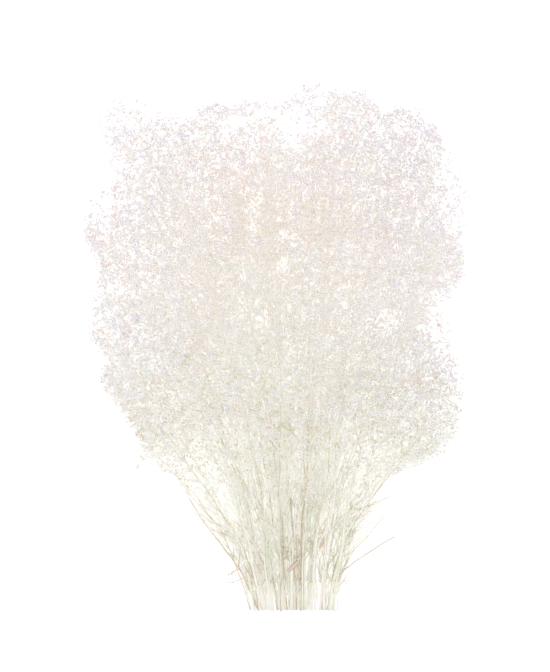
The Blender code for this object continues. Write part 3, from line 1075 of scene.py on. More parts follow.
class FineStem:
    """The fine growth of one flowering stem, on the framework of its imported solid."""

    def __init__(self, plan: Framework, base: FrameStem, growth: Growth, crowd: Crowd) -> None:
        """Grow the smooth stalks that the rest stands on.

        Args:
            plan: The rule that placed the solids.
            base: The framework of this stem.
            growth: Sizes and habits of the fine growth.
            crowd: Count of all blooms of the bunch.
        """
        self.plan, self.base, self.growth, self.crowd = plan, base, growth, crowd
        self.cloud = crowd.cloud
        self.random = random.Random(FINE_SEED + base.number)
        self.draw, self.chance = self.random.random, self.random.uniform
        self.across = (base.points[0].x - plan.neck[0]) / (plan.neck[1] - plan.neck[0])
        self.tone = self.pick_tone()
        self.neck_lines: list[Line] = []
        self.twigs: dict[Tone, list[Copy]] = {tone: [] for tone in Tone}
        self.forks: list[Copy] = []
        self.pedicels: list[Copy] = []
        self.leaves: list[Copy] = []
        self.blooms: dict[Kind, list[Copy]] = {kind: [] for kind in Kind}
        self.lines = [self.main_line()]
        self.rod_lines: list[Line] = []
        for rod in base.rods:
            self.rod_lines.append(self.rod_line(rod))
        self.lines += self.rod_lines

    def stray(self, size: float) -> Vector:
        """Return a random offset of up to a size each way."""
        return Vector([self.chance(-size, size) for _ in range(3)])

    def pick_tone(self) -> Tone:
        """Draw the tone of the main stem, by where its cut end stands in the neck.

        Returns:
            The tone.
        """
        # Stems cut in the middle of the neck are mostly brown: partly their real colour, partly
        # painted shade of the stacked stems there.
        low, high = self.growth.brown_and_shade_roots
        tones = self.growth.middle_tones_with_shade if low < self.across < high else self.growth.outer_tones
        draw = self.draw()
        return next(tone for tone, up_to in tones if draw < up_to)

    def twig_tone(self, place: Vector, brown: float = 0.0) -> Tone:
        """Choose the tone of a twig: mostly green in the lower half, mostly straw above.

        Args:
            place: Its root.
            brown: Share of such twigs that are brown.

        Returns:
            Its tone.
        """
        growth = self.growth
        if brown and self.draw() < brown:
            return Tone.BROWN
        fade = (place.y - growth.green_fade_y) / growth.green_fade_run
        green = lerp(*growth.green_shares, min(1.0, max(0.0, fade)))
        return Tone.GREEN if self.draw() < green else Tone.STRAW

    def main_line(self) -> Line:
        """Grow the main stem: a smooth line that wavers a little and thins towards its tip.

        Returns:
            The line.
        """
        growth, base = self.growth, self.base
        count = max(growth.least_steps, int(base.length / growth.line_step))
        points = self.plan.main_stem(base.points[0], base.tip, base.level, count)
        phase = [self.chance(0, CIRCLE) for _ in range(4)]
        thickness = self.chance(*growth.thickness)
        last = len(points) - 1
        radii = []
        for i, point in enumerate(points):
            share = i / last
            at_node = i % growth.knuckle_every == growth.knuckle_every - 1
            radius = thickness * lerp(*growth.stem_radii, share**growth.taper)
            radius *= growth.knuckle if at_node else 1.0
            wobble = growth.wobble * min(1.0, i / growth.wobble_run)
            wobble *= min(1.0, (last - i) / growth.wobble_run)
            for axis, slow, fast in growth.waves:
                wave = math.sin(slow * share + phase[axis])
                wave += growth.ripple * math.sin(fast * share + phase[axis + 1])
                point[axis] += wobble * wave
            point.z = max(point.z, radius)
            radii.append(radius)
        points[-1] = points[-1].lerp(points[-2], growth.pulled_back)
        return Line(points, radii, self.tone)

    def curve(self, start: Vector, leaving: Vector, end: Vector, radii: Pair, tone: Tone) -> Line:
        """Draw a curved stalk.

        Args:
            start: Its root.
            leaving: The direction that it leaves in.
            end: Its tip.
            radii: Its radius at the root and at the tip.
            tone: Its tone.

        Returns:
            The curved line.
        """
        span = (end - start).length
        middle = start + leaving * span * self.growth.lead + self.stray(span * self.growth.bow)
        count = max(3, int(span / self.growth.line_step) + 2)
        shares = [i / (count - 1) for i in range(count)]
        points = [start * (1 - t) ** 2 + middle * 2 * t * (1 - t) + end * t * t for t in shares]
        return Line(points, [lerp(*radii, t) for t in shares], tone)

    def rod_line(self, rod: Rod) -> Line:
        """Grow one rod of the framework as a curved line, up to where its spray starts.

        Args:
            rod: The rod.

        Returns:
            The line.
        """
        growth = self.growth
        parent = self.lines[0] if rod.parent is None else self.rod_lines[rod.parent]
        index = parent.nearest(rod.start)
        start, run = parent.points[index], rod.end - rod.start
        heading = run.normalized()
        end = rod.end - heading * min(growth.spray_start, growth.most_spray_share * run.length)
        leaving = (heading + parent.heading(index) * growth.parent_pull).normalized()
        radii = growth.branch_radii if rod.parent is None else growth.twig_radii
        return self.curve(start, leaving, end, radii, self.twig_tone(start))

    def stalk(self, start: Vector, end: Vector, radius: float) -> Copy:
        """Return the copy of a thin straight stalk between two places."""
        run, middle = end - start, start.lerp(end, 0.5)
        return Copy(middle, run.normalized(), (radius, radius, run.length), 0.0, self.draw())

    def add_bloom(self, node: Vector, heading: Vector, length: float) -> bool:
        """Grow a bloom on a hair-thin stalk of its own.

        Args:
            node: Where the stalk starts.
            heading: Its direction.
            length: Its length.

        Returns:
            Whether there was room for it.
        """
        growth, draw = self.growth, self.draw()
        place = node + heading * length
        depth = self.plan.roof_at(place.x, place.y) - place.z
        inner = min(depth, place.z) > growth.inner_depth
        for kind, share, sizes in growth.inner_kinds if inner else growth.kinds:
            if draw < share:
                break
            draw -= share
        size = self.chance(*sizes)
        stalk = self.stalk(node, place, growth.pedicel_radius)
        if (
            place.z < growth.lowest_bloom * size
            or not self.cloud.holds(place, self.chance(-1, 1))
            or depth < -growth.highest_bloom * growth.spray_step
            or self.crowd.packed(place, growth.most_packed)
        ):
            return False
        self.pedicels.append(stalk)
        facing = (heading + self.stray(growth.bloom_stray)).normalized()
        spin, shade = self.chance(0, CIRCLE), self.draw()
        self.blooms[kind].append(Copy(place, facing, (size,) * 3, spin, shade))
        self.crowd.add(place)
        return True

    def fork(self, node: Vector, heading: Vector, across: Vector, length: float, level: int) -> int:
        """Grow what stands on a fork: a bloom in the middle and a smaller fork on each side.

        Args:
            node: Where the fork stands.
            heading: Direction of the stalk that ends there.
            across: Direction, square to it, that the fork spreads in.
            length: Length of the next stalks.
            level: How many more times they fork.

        Returns:
            The number of blooms that grew.
        """
        growth = self.growth
        middle = (heading + self.stray(growth.middle_stray)).normalized()
        grown = int(self.add_bloom(node, middle, length * self.chance(*growth.middle_steps)))
        for side in (-1, 1):
            if self.draw() < growth.missing:
                continue
            angle = self.chance(*growth.spray_angles)
            twist = self.chance(-growth.spray_twist, growth.spray_twist)
            branch = leaned(heading, across * side, angle, twist)
            reach = length * self.chance(*growth.spray_steps)
            if level == 0:
                grown += int(self.add_bloom(node, branch, reach))
                continue
            end = node + branch * reach
            if end.z < growth.lowest_fork:
                continue
            square = branch.cross(across).normalized()
            above = self.fork(end, branch, square, length * growth.spray_shrink, level - 1)
            if above:
                radius = growth.fork_radius * (1 + growth.fork_thickening * level)
                self.forks.append(self.stalk(node, end, radius))
                grown += above
        return grown

    def spray(self, line: Line, heading: Vector, level: int) -> None:
        """Grow a forked spray of blooms on the end of a line.

        Args:
            line: The line that carries it.
            heading: The direction that it grows in.
            level: How many times it forks.
        """
        across = heading.orthogonal().normalized()
        across = Matrix.Rotation(self.chance(0, math.pi), 3, heading) @ across
        self.fork(line.points[-1], heading, across, self.growth.spray_step, level)

    def grow_heads(self) -> None:
        """Grow the sprays that stand for the large florets of the solid."""
        growth, base = self.growth, self.base
        places = [base.tip, *(rod.end for rod in base.rods)]
        for line, place, (facing, _, _) in zip(self.lines, places, base.florets):
            towards = line.heading(len(line.points) - 1) + facing * growth.head_facing
            heading = (towards + self.stray(growth.head_stray)).normalized()
            thin = self.cloud.fullness(place) < growth.thin_head
            self.spray(line, heading, growth.head_levels - int(thin))

    def nodes(self) -> list[tuple[Line, int]]:
        """Find where side shoots may start, in random order.

        Returns:
            Each stalk with the number of its point.
        """
        growth, main = self.growth, self.lines[0]
        step = max(1, round(growth.node_spacing / growth.line_step))
        first, final = (int(share * (len(main.points) - 1)) for share in growth.stem_nodes)
        places = [(main, i) for i in range(first, final, step)]
        for line in self.rod_lines:
            places += [(line, i) for i in range(1, len(line.points) - 1)]
        self.random.shuffle(places)
        return places

    def reach_for_room(self, line: Line, index: int) -> None:
        """Grow a side shoot from a line towards where blooms are wanted most, if they are.

        Args:
            line: The line that it starts on.
            index: The point of the line that it starts at.
        """
        growth = self.growth
        root, direction = line.points[index], line.heading(index)
        side = direction.orthogonal().normalized()
        best, best_need = None, growth.least_need
        for _ in range(growth.looks):
            angle = self.chance(*growth.shoot_angles)
            length = self.chance(*growth.shoot_lengths)
            heading = leaned(direction, side, angle, self.chance(0, 360))
            end = root + heading * length
            middle = end + heading * growth.spray_step
            if end.z < growth.lowest_shoot or not self.cloud.holds(middle):
                continue
            if middle.z > self.plan.roof_at(middle.x, middle.y):
                continue
            need = self.crowd.need(middle)
            if need > best_need:
                best, best_need = (heading, end), need
        if best is None:
            return
        heading, end = best
        leaving = (heading + direction * growth.shoot_pull).normalized()
        shoot = self.curve(root, leaving, end, growth.twig_radii, self.twig_tone(root))
        self.lines.append(shoot)
        self.spray(shoot, heading, growth.shoot_levels)

    def grow_neck_shoots(self) -> None:
        """Grow thin stalks from the cut end, which cross the stem and its neighbours."""
        growth, main = self.growth, self.lines[0]
        last = len(main.points) - 1
        from_middle = self.across - 0.5
        for k in range(growth.neck_shoots):
            side = -1 if k % 2 else 1
            root = side * self.chance(*growth.neck_shoot_roots)
            away = -side * self.chance(*growth.neck_shoot_widths)
            if abs(from_middle) > growth.outer_from and k > 0:
                away = math.copysign(self.chance(*growth.outer_shoot_widths), from_middle)
            lift = self.chance(-growth.neck_shoot_lift, growth.neck_shoot_lift)
            end = int(last * self.chance(*growth.neck_shoot_ends))
            rise = self.chance(*growth.neck_shoot_rises)
            phase = [self.chance(0, CIRCLE) for _ in range(2)]
            points, radii = [], []
            for i in range(end):
                share = i / end
                radius = lerp(*growth.neck_shoot_radii, share)
                wander = growth.neck_shoot_wander * min(1.0, growth.neck_shoot_easing * share)
                sideways, upwards = (
                    wander * math.sin(wave * share + start)
                    for wave, start in zip(growth.neck_shoot_waves, phase)
                )
                aside = lerp(root, away, share**growth.neck_shoot_flare) + sideways
                height = lift * (1 - share) + rise * share**2 + upwards
                point = main.points[i] + Vector((aside, 0.0, height))
                roof = self.plan.roof_at(point.x, point.y) - growth.neck_shoot_cover
                point.z = max(min(point.z, roof), radius)
                points.append(point)
                radii.append(radius)
            line = Line(points, radii, self.twig_tone(main.points[0], growth.brown_shoots))
            self.lines.append(line)
            self.neck_lines.append(line)
            heading = line.heading(len(points) - 1)
            if self.cloud.holds(points[-1] + heading * growth.neck_shoot_look):
                self.spray(line, heading, growth.shoot_levels)

    def grow_bare_twigs(self) -> None:
        """Grow short forked twigs on the stalks of the neck, mostly outwards."""
        growth = self.growth
        stalks = [self.lines[0], *self.neck_lines]
        middle = (self.plan.neck[0] + self.plan.neck[1]) / 2
        for _ in range(growth.bare_twigs):
            line = stalks[self.random.randrange(len(stalks))]
            last = len(line.points) - 1
            index = int(lerp(*growth.bare_twig_zone, math.sqrt(self.draw())) * last)
            root, direction = line.points[index], line.heading(index)
            slope = self.chance(-growth.bare_twig_slope, growth.bare_twig_slope)
            away = Vector((math.copysign(1.0, root.x - middle), 0.0, slope))
            if self.draw() > growth.outward:
                away.x = -away.x
            angle = math.radians(self.chance(*growth.bare_twig_angles))
            heading = direction + away.normalized() * math.tan(angle)
            heading.normalize()
            length = self.chance(*growth.bare_twig_lengths)
            end = root + heading * length
            if end.z < growth.lowest_fork:
                continue
            tone = self.twig_tone(root, growth.brown_bare_twigs)
            radius = growth.bare_twig_radius * self.chance(*growth.bare_twig_thickness)
            self.twigs[tone].append(self.stalk(root, end, radius))
            self.grow_side_twigs(root, heading, length, radius, tone)

    def grow_side_twigs(
        self, root: Vector, heading: Vector, length: float, radius: float, tone: Tone
    ) -> None:
        """Fork a bare twig, and end some of its forks in a bud.

        Args:
            root: Where the bare twig starts.
            heading: Its direction.
            length: Its length.
            radius: Its radius.
            tone: Its tone.
        """
        growth, end = self.growth, root + heading * length
        side = heading.orthogonal().normalized()
        for k in range(growth.bare_twig_forks):
            angle = self.chance(*growth.side_twig_angles)
            turn = 180 * k + self.chance(-growth.side_twig_twist, growth.side_twig_twist)
            branch = leaned(heading, side, angle, turn)
            start = root.lerp(end, self.chance(*growth.side_twig_roots))
            tip = start + branch * (length * self.chance(*growth.side_twig_lengths))
            if tip.z < growth.lowest_side_twig:
                continue
            self.twigs[tone].append(self.stalk(start, tip, radius * growth.side_twig_thickness))
            if self.draw() < growth.side_twig_buds:
                size = self.chance(*growth.side_bud_radii)
                self.blooms[Kind.BUD].append(Copy(tip, branch, (size,) * 3, 0.0, self.draw()))

    def grow_stray(self, twig: StrayTwig) -> None:
        """Grow a twig that stands clear of the bunch, from the nearest stalk.

        Args:
            twig: The twig.
        """
        places = [Vector(place) for place in twig.places]
        root = min(self.lines, key=lambda line: line.distance(places[0]))
        places.insert(0, root.points[root.nearest(places[0])].copy())
        radii = [twig.radius * lerp(1.0, twig.taper, i / len(places)) for i in range(len(places))]
        line = Line(places, radii, twig.tone)
        self.lines.append(line)
        for sprig in twig.sprigs:
            end = Vector(sprig)
            start = line.points[line.nearest(end)]
            sprig_radius = twig.radius * twig.sprig_thickness
            self.twigs[twig.tone].append(self.stalk(start, end, sprig_radius))
            along = (end - start).normalized()
            for share in twig.leaf_roots:
                heading = (along + self.stray(twig.leaf_stray)).normalized()
                size = (twig.leaf_width, twig.leaf_width, self.chance(*twig.leaf_lengths))
                spin = self.chance(*self.growth.leaf_spins)
                leaf = Copy(start.lerp(end, share), heading, size, spin, twig.leaf_shade)
                self.leaves.append(leaf)

    def top_under(self, leaf: LooseLeaf) -> float:
        """Find what a loose leaf lies on.

        Args:
            leaf: The leaf.

        Returns:
            The height of the highest stalk of this stem under it, or 0.
        """
        x, y = leaf.root
        points = (point for line in self.lines for point in line.points)
        under = (p.z for p in points if math.hypot(p.x - x, p.y - y) < leaf.rests_on)
        return max(under, default=0.0)

    def grow_loose_leaf(self, leaf: LooseLeaf) -> None:
        """Lay a broad leaf on top of this stem, which is the highest under it.

        Args:
            leaf: The leaf.
        """
        height = self.top_under(leaf) + leaf.width * 0.5
        root, tip = Vector((*leaf.root, height)), Vector((*leaf.tip, height + leaf.tip_rise))
        run = tip - root
        size = (leaf.width, leaf.width, run.length)
        self.leaves.append(Copy(root, run.normalized(), size, leaf.spin, leaf.shade))

    def grow_leaves(self) -> None:
        """Grow the narrow leaves: those of the solid, and a pair at each node of the lower stem."""
        growth, main = self.growth, self.lines[0]
        for root, tip in self.base.leaves:
            run, width = tip - root, growth.leaning_leaf_width
            size = (width, width, run.length * growth.leaning_leaf_reach)
            spin = self.chance(*growth.leaf_spins)
            self.leaves.append(Copy(root, run.normalized(), size, spin, self.chance(0, 1)))
        first, final = (int(share * (len(main.points) - 1)) for share in growth.leaf_nodes)
        step = max(1, round(growth.leaf_spacing / growth.line_step))
        for line in (main, *self.neck_lines):
            for i in range(first, min(final, len(line.points) - 1), step):
                turn = self.chance(0, 180)
                for half in (0, 180):
                    if self.draw() <= growth.leaf_share:
                        self.grow_node_leaf(line, i, turn + half)

    def grow_node_leaf(self, line: Line, index: int, turn: float) -> None:
        """Grow one leaf at a node of a stalk, where it stays above the surface.

        Args:
            line: The stalk.
            index: The point of the stalk that it grows at.
            turn: How far it is turned about the stalk.
        """
        growth, root, direction = self.growth, line.points[index], line.heading(index)
        angle = self.chance(*growth.leaf_angles)
        heading = leaned(direction, direction.orthogonal().normalized(), angle, turn)
        length, width = self.chance(*growth.leaf_lengths), self.chance(*growth.leaf_widths)
        if (root + heading * length).z >= width:
            spin = self.chance(*growth.leaf_spins)
            self.leaves.append(Copy(root, heading, (width, width, length), spin, self.draw()))


@dataclass
class Bunch:
    """All the fine growth of the bunch, stem by stem."""

    plan: Framework = field(default_factory=Framework)
    growth: Growth = field(default_factory=Growth)
    cloud: Cloud = field(default_factory=Cloud)

    def grow(self) -> list[FineStem]:
        """Grow the framework's sprays of every stem, and then the side shoots.

        Returns:
            The fine growth of every stem.
        """
        crowd = Crowd(self.cloud)
        stems = [FineStem(self.plan, base, self.growth, crowd) for base in self.plan.grow()]
        for stem in stems:
            stem.grow_heads()
        for stem in stems:
            stem.grow_neck_shoots()
        LOG.info("framework sprays: %d blooms", crowd.total)
        for _ in range(self.growth.rounds):
            waiting = [(stem, node) for stem in stems for node in stem.nodes()]
            random.Random(len(waiting)).shuffle(waiting)
            for stem, (line, index) in waiting:
                if crowd.total >= self.growth.most_blooms:
                    break
                stem.reach_for_room(line, index)
            LOG.info("with side shoots: %d blooms", crowd.total)
        for stem in stems:
            stem.grow_bare_twigs()
            stem.grow_leaves()
        for leaf in LOOSE_LEAVES:
            max(stems, key=lambda stem: stem.top_under(leaf)).grow_loose_leaf(leaf)
        for twig in STRAY_TWIGS:
            root = Vector(twig.places[0])
            nearest = min(stems, key=lambda stem: min(line.distance(root) for line in stem.lines))
            nearest.grow_stray(twig)
        return stems


def deselect_all() -> None:
    """Deselect every object, so that an operator acts on the new one alone."""
    for obj in bpy.context.selected_objects:
        obj.select_set(False)


def cone(sides: int, radius: float, **options: float | str) -> bpy.types.Object:
    """Add a cone of length 1 with its middle at the origin, and nothing else selected.

    Args:
        sides: Number of its sides.
        radius: Radius of its base.
        options: What else the operator takes.

    Returns:
        The cone.
    """
    deselect_all()
    bpy.ops.mesh.primitive_cone_add(vertices=sides, radius1=radius, depth=1.0, **options)
    return bpy.context.object


def reshape(
    obj: bpy.types.Object, chosen: Callable[[Vector], bool], move: Triple | None = None,
    size: Triple | None = None,
) -> None:
    """Resize and then move some points of an object in edit mode.

    Args:
        obj: The object.
        chosen: Tells whether a point is taken.
        move: How far the points move.
        size: How many times they spread, before they move.
    """
    bpy.context.view_layer.objects.active = obj
    for part in (*obj.data.polygons, *obj.data.edges):
        part.select = False
    for vert in obj.data.vertices:
        vert.select = chosen(vert.co)
    bpy.ops.object.mode_set(mode="EDIT")
    bpy.ops.mesh.select_mode(type="VERT")
    if size:
        bpy.ops.transform.resize(value=size)
    if move:
        bpy.ops.transform.translate(value=move)
    bpy.ops.object.mode_set(mode="OBJECT")


def every_point(co: Vector) -> bool:
    """Take every point of an object."""
    return True


def join(main: bpy.types.Object, *others: bpy.types.Object) -> None:
    """Join objects into a main one.

    Args:
        main: The object that stays.
        others: Those that go into it.
    """
    deselect_all()
    for obj in (main, *others):
        obj.select_set(True)
    bpy.context.view_layer.objects.active = main
    bpy.ops.object.join()


def placed(name: str, data: bpy.types.ID) -> bpy.types.Object:
    """Put a new object in the scene.

    Args:
        name: Its name.
        data: Its mesh, curve, lamp or camera.

    Returns:
        The object.
    """
    obj = bpy.data.objects.new(name, data)
    bpy.context.scene.collection.objects.link(obj)
    return obj


@dataclass
class Shape:
    """Small shape that is modelled once and copied: its points, triangles and heart values.

    The heart value runs from 0 at the root of a bloom or leaf to 1 at the tips of its petals.
    """

    points: np.ndarray
    faces: np.ndarray
    hearts: np.ndarray
    steep: float = 0.9

    @classmethod
    def taken_from(cls, obj: bpy.types.Object, heart: Callable[[Vector], float]) -> "Shape":
        """Read the shape of an object, and remove the object.

        Args:
            obj: The modelled object.
            heart: Gives the heart value of a point.

        Returns:
            The shape.
        """
        mesh = obj.data
        mesh.calc_loop_triangles()
        points = np.array([tuple(vert.co) for vert in mesh.vertices])
        faces = np.array([tuple(triangle.vertices) for triangle in mesh.loop_triangles])
        hearts = np.array([min(1.0, max(0.0, heart(vert.co))) for vert in mesh.vertices])
        bpy.data.objects.remove(obj)
        return cls(points, faces, hearts)

    def copied(self, copies: list[Copy]) -> tuple[np.ndarray, np.ndarray, np.ndarray, np.ndarray]:
        """Set out copies of the shape.

        Args:
            copies: Where each copy stands.

        Returns:
            The points, triangles, heart values and shades of all the copies together.
        """
        axes, places = (
            np.array([tuple(getattr(copy, name)) for copy in copies]) for name in ("axis", "place")
        )
        sizes = np.array([copy.size for copy in copies])
        spins = np.array([copy.spin for copy in copies])
        upright = np.abs(axes[:, 2:3]) > self.steep
        side = np.where(upright, np.array([[1.0, 0.0, 0.0]]), np.array([[0.0, 0.0, 1.0]]))
        first = np.cross(side, axes)
        first /= np.linalg.norm(first, axis=1)[:, None]
        second = np.cross(axes, first)
        cos, sin = np.cos(spins)[:, None], np.sin(spins)[:, None]
        turned, square = first * cos + second * sin, second * cos - first * sin
        frames = np.stack([turned, square, axes], axis=2) * sizes[:, None, :]
        points = np.einsum("kij,nj->kni", frames, self.points) + places[:, None, :]
        faces = self.faces[None] + np.arange(len(copies))[:, None, None] * len(self.points)
        hearts = np.tile(self.hearts, len(copies))
        shades = np.repeat([copy.shade for copy in copies], len(self.points))
        return points.reshape(-1, 3), faces.reshape(-1, 3), hearts, shades


@dataclass
class Shapes:
    """The small shapes of the bunch, for parts of radius or length 1.

    A bloom opens along +Z from its calyx. A stalk and a leaf run along +Z.
    """

    petals: int = 5
    notch: float = 0.55
    open_lift: float = 0.28
    cup_floor: float = 0.45
    tuft_lift: float = 0.45
    tuft_size: float = 0.55
    tuft_rise: float = 0.30
    half_open_lift: float = 0.80
    calyx: float = 0.45
    inside_rim: float = 0.3
    beyond_notches: float = 0.9
    below_floor: float = -0.49
    bud_radius: float = 0.8
    bud_length: float = 1.3
    bud_root: float = 0.6
    bud_hearts: Triple = (0.45, 0.4, 0.8)
    petal_hearts: Triple = (0.3, 0.7, 0.5)
    twig_tip: float = 0.5
    leaf_thickness: float = 0.10
    leaf_curls: Triple = (0.05, 0.22, 0.45)
    leaf_bend: float = 8.0

    def cup(self, sides: int, lift: float) -> bpy.types.Object:
        """Model a closed star-shaped cup from a cone.

        Args:
            sides: Number of points of its rim: every other one is a petal tip.
            lift: How far the petal tips rise.

        Returns:
            The modelled object.
        """
        obj = cone(sides, 1.0, end_fill_type="TRIFAN")
        step = CIRCLE / sides

        def out(co: Vector) -> float:
            """Return how far a point is from the middle."""
            return math.hypot(co.x, co.y)

        def notched(co: Vector) -> bool:
            """Tell whether a point of the rim stands between two petals."""
            return out(co) > self.inside_rim and round(math.atan2(co.y, co.x) / step) % 2 != 0

        floor = (0.0, 0.0, lift * self.cup_floor - 1.0)
        reshape(obj, lambda co: out(co) <= self.inside_rim and co.z > 0.0, floor)
        foot = (0.0, 0.0, -self.calyx)
        reshape(obj, lambda co: out(co) <= self.inside_rim and co.z < self.below_floor, foot)
        reshape(obj, notched, size=(self.notch, self.notch, 1.0))
        reshape(obj, lambda co: out(co) > self.beyond_notches, (0.0, 0.0, lift))
        reshape(obj, every_point, (0.0, 0.0, 0.5))
        return obj

    def blooms(self) -> dict[Kind, Shape]:
        """Model every kind of bloom.

        Returns:
            A star of petals with a tuft of smaller ones on it, the star alone, a narrow cup of
            raised petals and a bud.
        """
        double, single = (self.cup(2 * self.petals, self.open_lift) for _ in range(2))
        tuft = self.cup(self.petals + 1, self.tuft_lift)
        reshape(tuft, every_point, (0.0, 0.0, self.tuft_rise), (self.tuft_size,) * 3)
        join(double, tuft)
        half_open = self.cup(self.petals + 1, self.half_open_lift)
        cups = {Kind.DOUBLE: double, Kind.OPEN: single, Kind.HALF_OPEN: half_open}
        shapes = {kind: Shape.taken_from(cup, self.petal_heart) for kind, cup in cups.items()}
        return {**shapes, Kind.BUD: self.bud()}

    def bud(self) -> Shape:
        """Model a closed bud: a pointed drop.

        Returns:
            Its shape.
        """
        obj = cone(4, self.bud_radius, end_fill_type="TRIFAN")
        reshape(obj, lambda co: co.z > 0.0, (0.0, 0.0, self.bud_length - 1.0))
        root = (0.0, 0.0, -self.bud_length * self.bud_root)
        reshape(obj, lambda co: math.hypot(co.x, co.y) < self.inside_rim and co.z < 0.0, root)
        start, rise, most = self.bud_hearts
        return Shape.taken_from(obj, lambda co: min(most, start + rise * co.z))

    def petal_heart(self, co: Vector) -> float:
        """Return a value that is 0 or less at the calyx and 1 or more at the tip of a petal."""
        start, outwards, upwards = self.petal_hearts
        return math.hypot(co.x, co.y) * outwards + co.z * upwards + start

    @staticmethod
    def thin_stalk(tip_radius: float) -> Shape:
        """Return a three-sided stalk of radius 1 and length 1, down to a radius at its tip."""
        return Shape.taken_from(cone(3, 1.0, radius2=tip_radius), lambda co: 0.5)

    def leaf(self, curl: float) -> Shape:
        """Return a lance leaf of length 1 that curls over along its length.

        Args:
            curl: How far its tip bends aside.

        Returns:
            The leaf.
        """
        deselect_all()
        bpy.ops.mesh.primitive_uv_sphere_add(segments=4, ring_count=6, radius=1.0)
        obj = bpy.context.object
        reshape(obj, every_point, (0.0, 0.0, 0.5), (1.0, self.leaf_thickness, 0.5))
        for vert in obj.data.vertices:
            vert.co.y += curl * self.leaf_bend * vert.co.z**2
        return Shape.taken_from(obj, lambda co: co.z)


def mesh_of(name: str, batches: list[tuple[Shape, list[Copy], int]]) -> bpy.types.Mesh:
    """Build one mesh of many copies of small shapes.

    Args:
        name: Name of the mesh.
        batches: Each shape with its copies and the number of its material.

    Returns:
        The mesh, with the attributes heart and shade on its points.
    """
    rows, count = [], 0
    for shape, copies, slot in batches:
        if copies:
            points, faces, hearts, shades = shape.copied(copies)
            rows.append((points, faces + count, hearts, shades, np.full(len(faces), slot)))
            count += len(points)
    points, faces, hearts, shades, slots = (np.concatenate(column) for column in zip(*rows))
    mesh = bpy.data.meshes.new(name)
    mesh.vertices.add(count)
    mesh.loops.add(len(faces) * 3)
    mesh.polygons.add(len(faces))
    for target, key, values, kind in (
        (mesh.vertices, "co", points, np.float32),
        (mesh.loops, "vertex_index", faces, np.int32),
        (mesh.polygons, "loop_start", np.arange(0, len(faces) * 3, 3), np.int32),
        (mesh.polygons, "material_index", slots, np.int32),
    ):
        target.foreach_set(key, values.astype(kind).ravel())
    mesh.update(calc_edges=True)
    for label, values in (("heart", hearts), ("shade", shades)):
        layer = mesh.attributes.new(label, "FLOAT", "POINT")
        layer.data.foreach_set("value", values.astype(np.float32))
    return mesh


Socket = bpy.types.NodeSocket
Colour = tuple[float, float, float, float]


def linear(colour: str) -> Colour:
    """Turn an sRGB colour into a linear one.

    Args:
        colour: The colour, in hex.

    Returns:
        Its red, green, blue and alpha.
    """
    parts = [int(colour[i : i + 2], 16) / 255 for i in (1, 3, 5)]
    made = [part / 12.92 if part <= 0.04045 else ((part + 0.055) / 1.055) ** 2.4 for part in parts]
    return (*made, 1.0)


WHITE = linear("#FFFFFF")
METRE_MM = 1000.0
MULTIPLY = {"data_type": "RGBA", "blend_type": "MULTIPLY"}
MULTIPLY_ADD = {"operation": "MULTIPLY_ADD"}


class Surface:
    """Material under construction: a Principled shader and the nodes that feed it."""

    def __init__(self, name: str) -> None:
        """Start a material, with its piece's own coordinates.

        Args:
            name: Name of the material.
        """
        self.material = bpy.data.materials.new(name)
        self.material.use_nodes = True
        self.tree = self.material.node_tree
        self.shader = self.tree.nodes["Principled BSDF"]
        self.place = self.add("TexCoord", {}, "Object")

    def feed(self, node: bpy.types.Node, inputs: dict) -> None:
        """Set inputs of a node.

        Args:
            node: The node.
            inputs: The value of each input, or the output that it is linked to.
        """
        for key, value in inputs.items():
            if isinstance(value, Socket):
                self.tree.links.new(value, node.inputs[key])
            else:
                node.inputs[key].default_value = value

    def add(
        self, kind: str, inputs: dict, output: int | str = 0, stops: Stops = (),
        **settings: str | float,
    ) -> Socket:
        """Add a node with its settings and links.

        Args:
            kind: Its type, without the word that all types start with.
            inputs: The value of each input, or the output that it is linked to.
            output: The output that is wanted.
            stops: The places and sRGB colours of its ramp, where it has one.
            settings: Its properties.

        Returns:
            That output.
        """
        node = self.tree.nodes.new("ShaderNode" + kind)
        for key, value in settings.items():
            setattr(node, key, value)
        self.feed(node, inputs)
        for _ in stops[2:]:
            node.color_ramp.elements.new(0.5)
        for i, (at, colour) in enumerate(stops):
            node.color_ramp.elements[i].position = at
            node.color_ramp.elements[i].color = linear(colour)
        return node.outputs[output]


@dataclass(frozen=True, kw_only=True)
class Finish:
    """What all finishes share: a matt surface with a fine relief and a soft light of its own, which
    on the bunch is a painted glow that lifts its shade.
    """

    roughness: float
    relief_mm: float
    relief_strength: float = 0.6
    # Emission strength: a painted glow that lifts the shade of the bunch, and on the floor the
    # light that keeps it white.
    glow: float
    through: float = 0.0
    through_colour: Triple = (1.0, 0.9, 0.8)
    through_reach: float = 0.002

    def finished(
        self, surface: Surface, colour: Socket, relief: Socket, glow: Socket | Colour | None = None
    ) -> bpy.types.Material:
        """Link the shader up.

        Args:
            surface: The material under construction.
            colour: Its base colour.
            relief: Height of its relief, from 0 to 1.
            glow: Colour of its light, where that isn't the base colour.

        Returns:
            The finished material.
        """
        depth = self.relief_mm / METRE_MM
        bump = {"Height": relief, "Distance": depth, "Strength": self.relief_strength}
        inputs = {
            "Base Color": colour,
            "Roughness": self.roughness,
            "Normal": surface.add("Bump", bump),
            "Subsurface Weight": self.through,
            "Subsurface Radius": self.through_colour,
            "Subsurface Scale": self.through_reach,
            "Emission Color": glow or colour,
            "Emission Strength": self.glow,
        }
        surface.feed(surface.shader, inputs)
        return surface.material


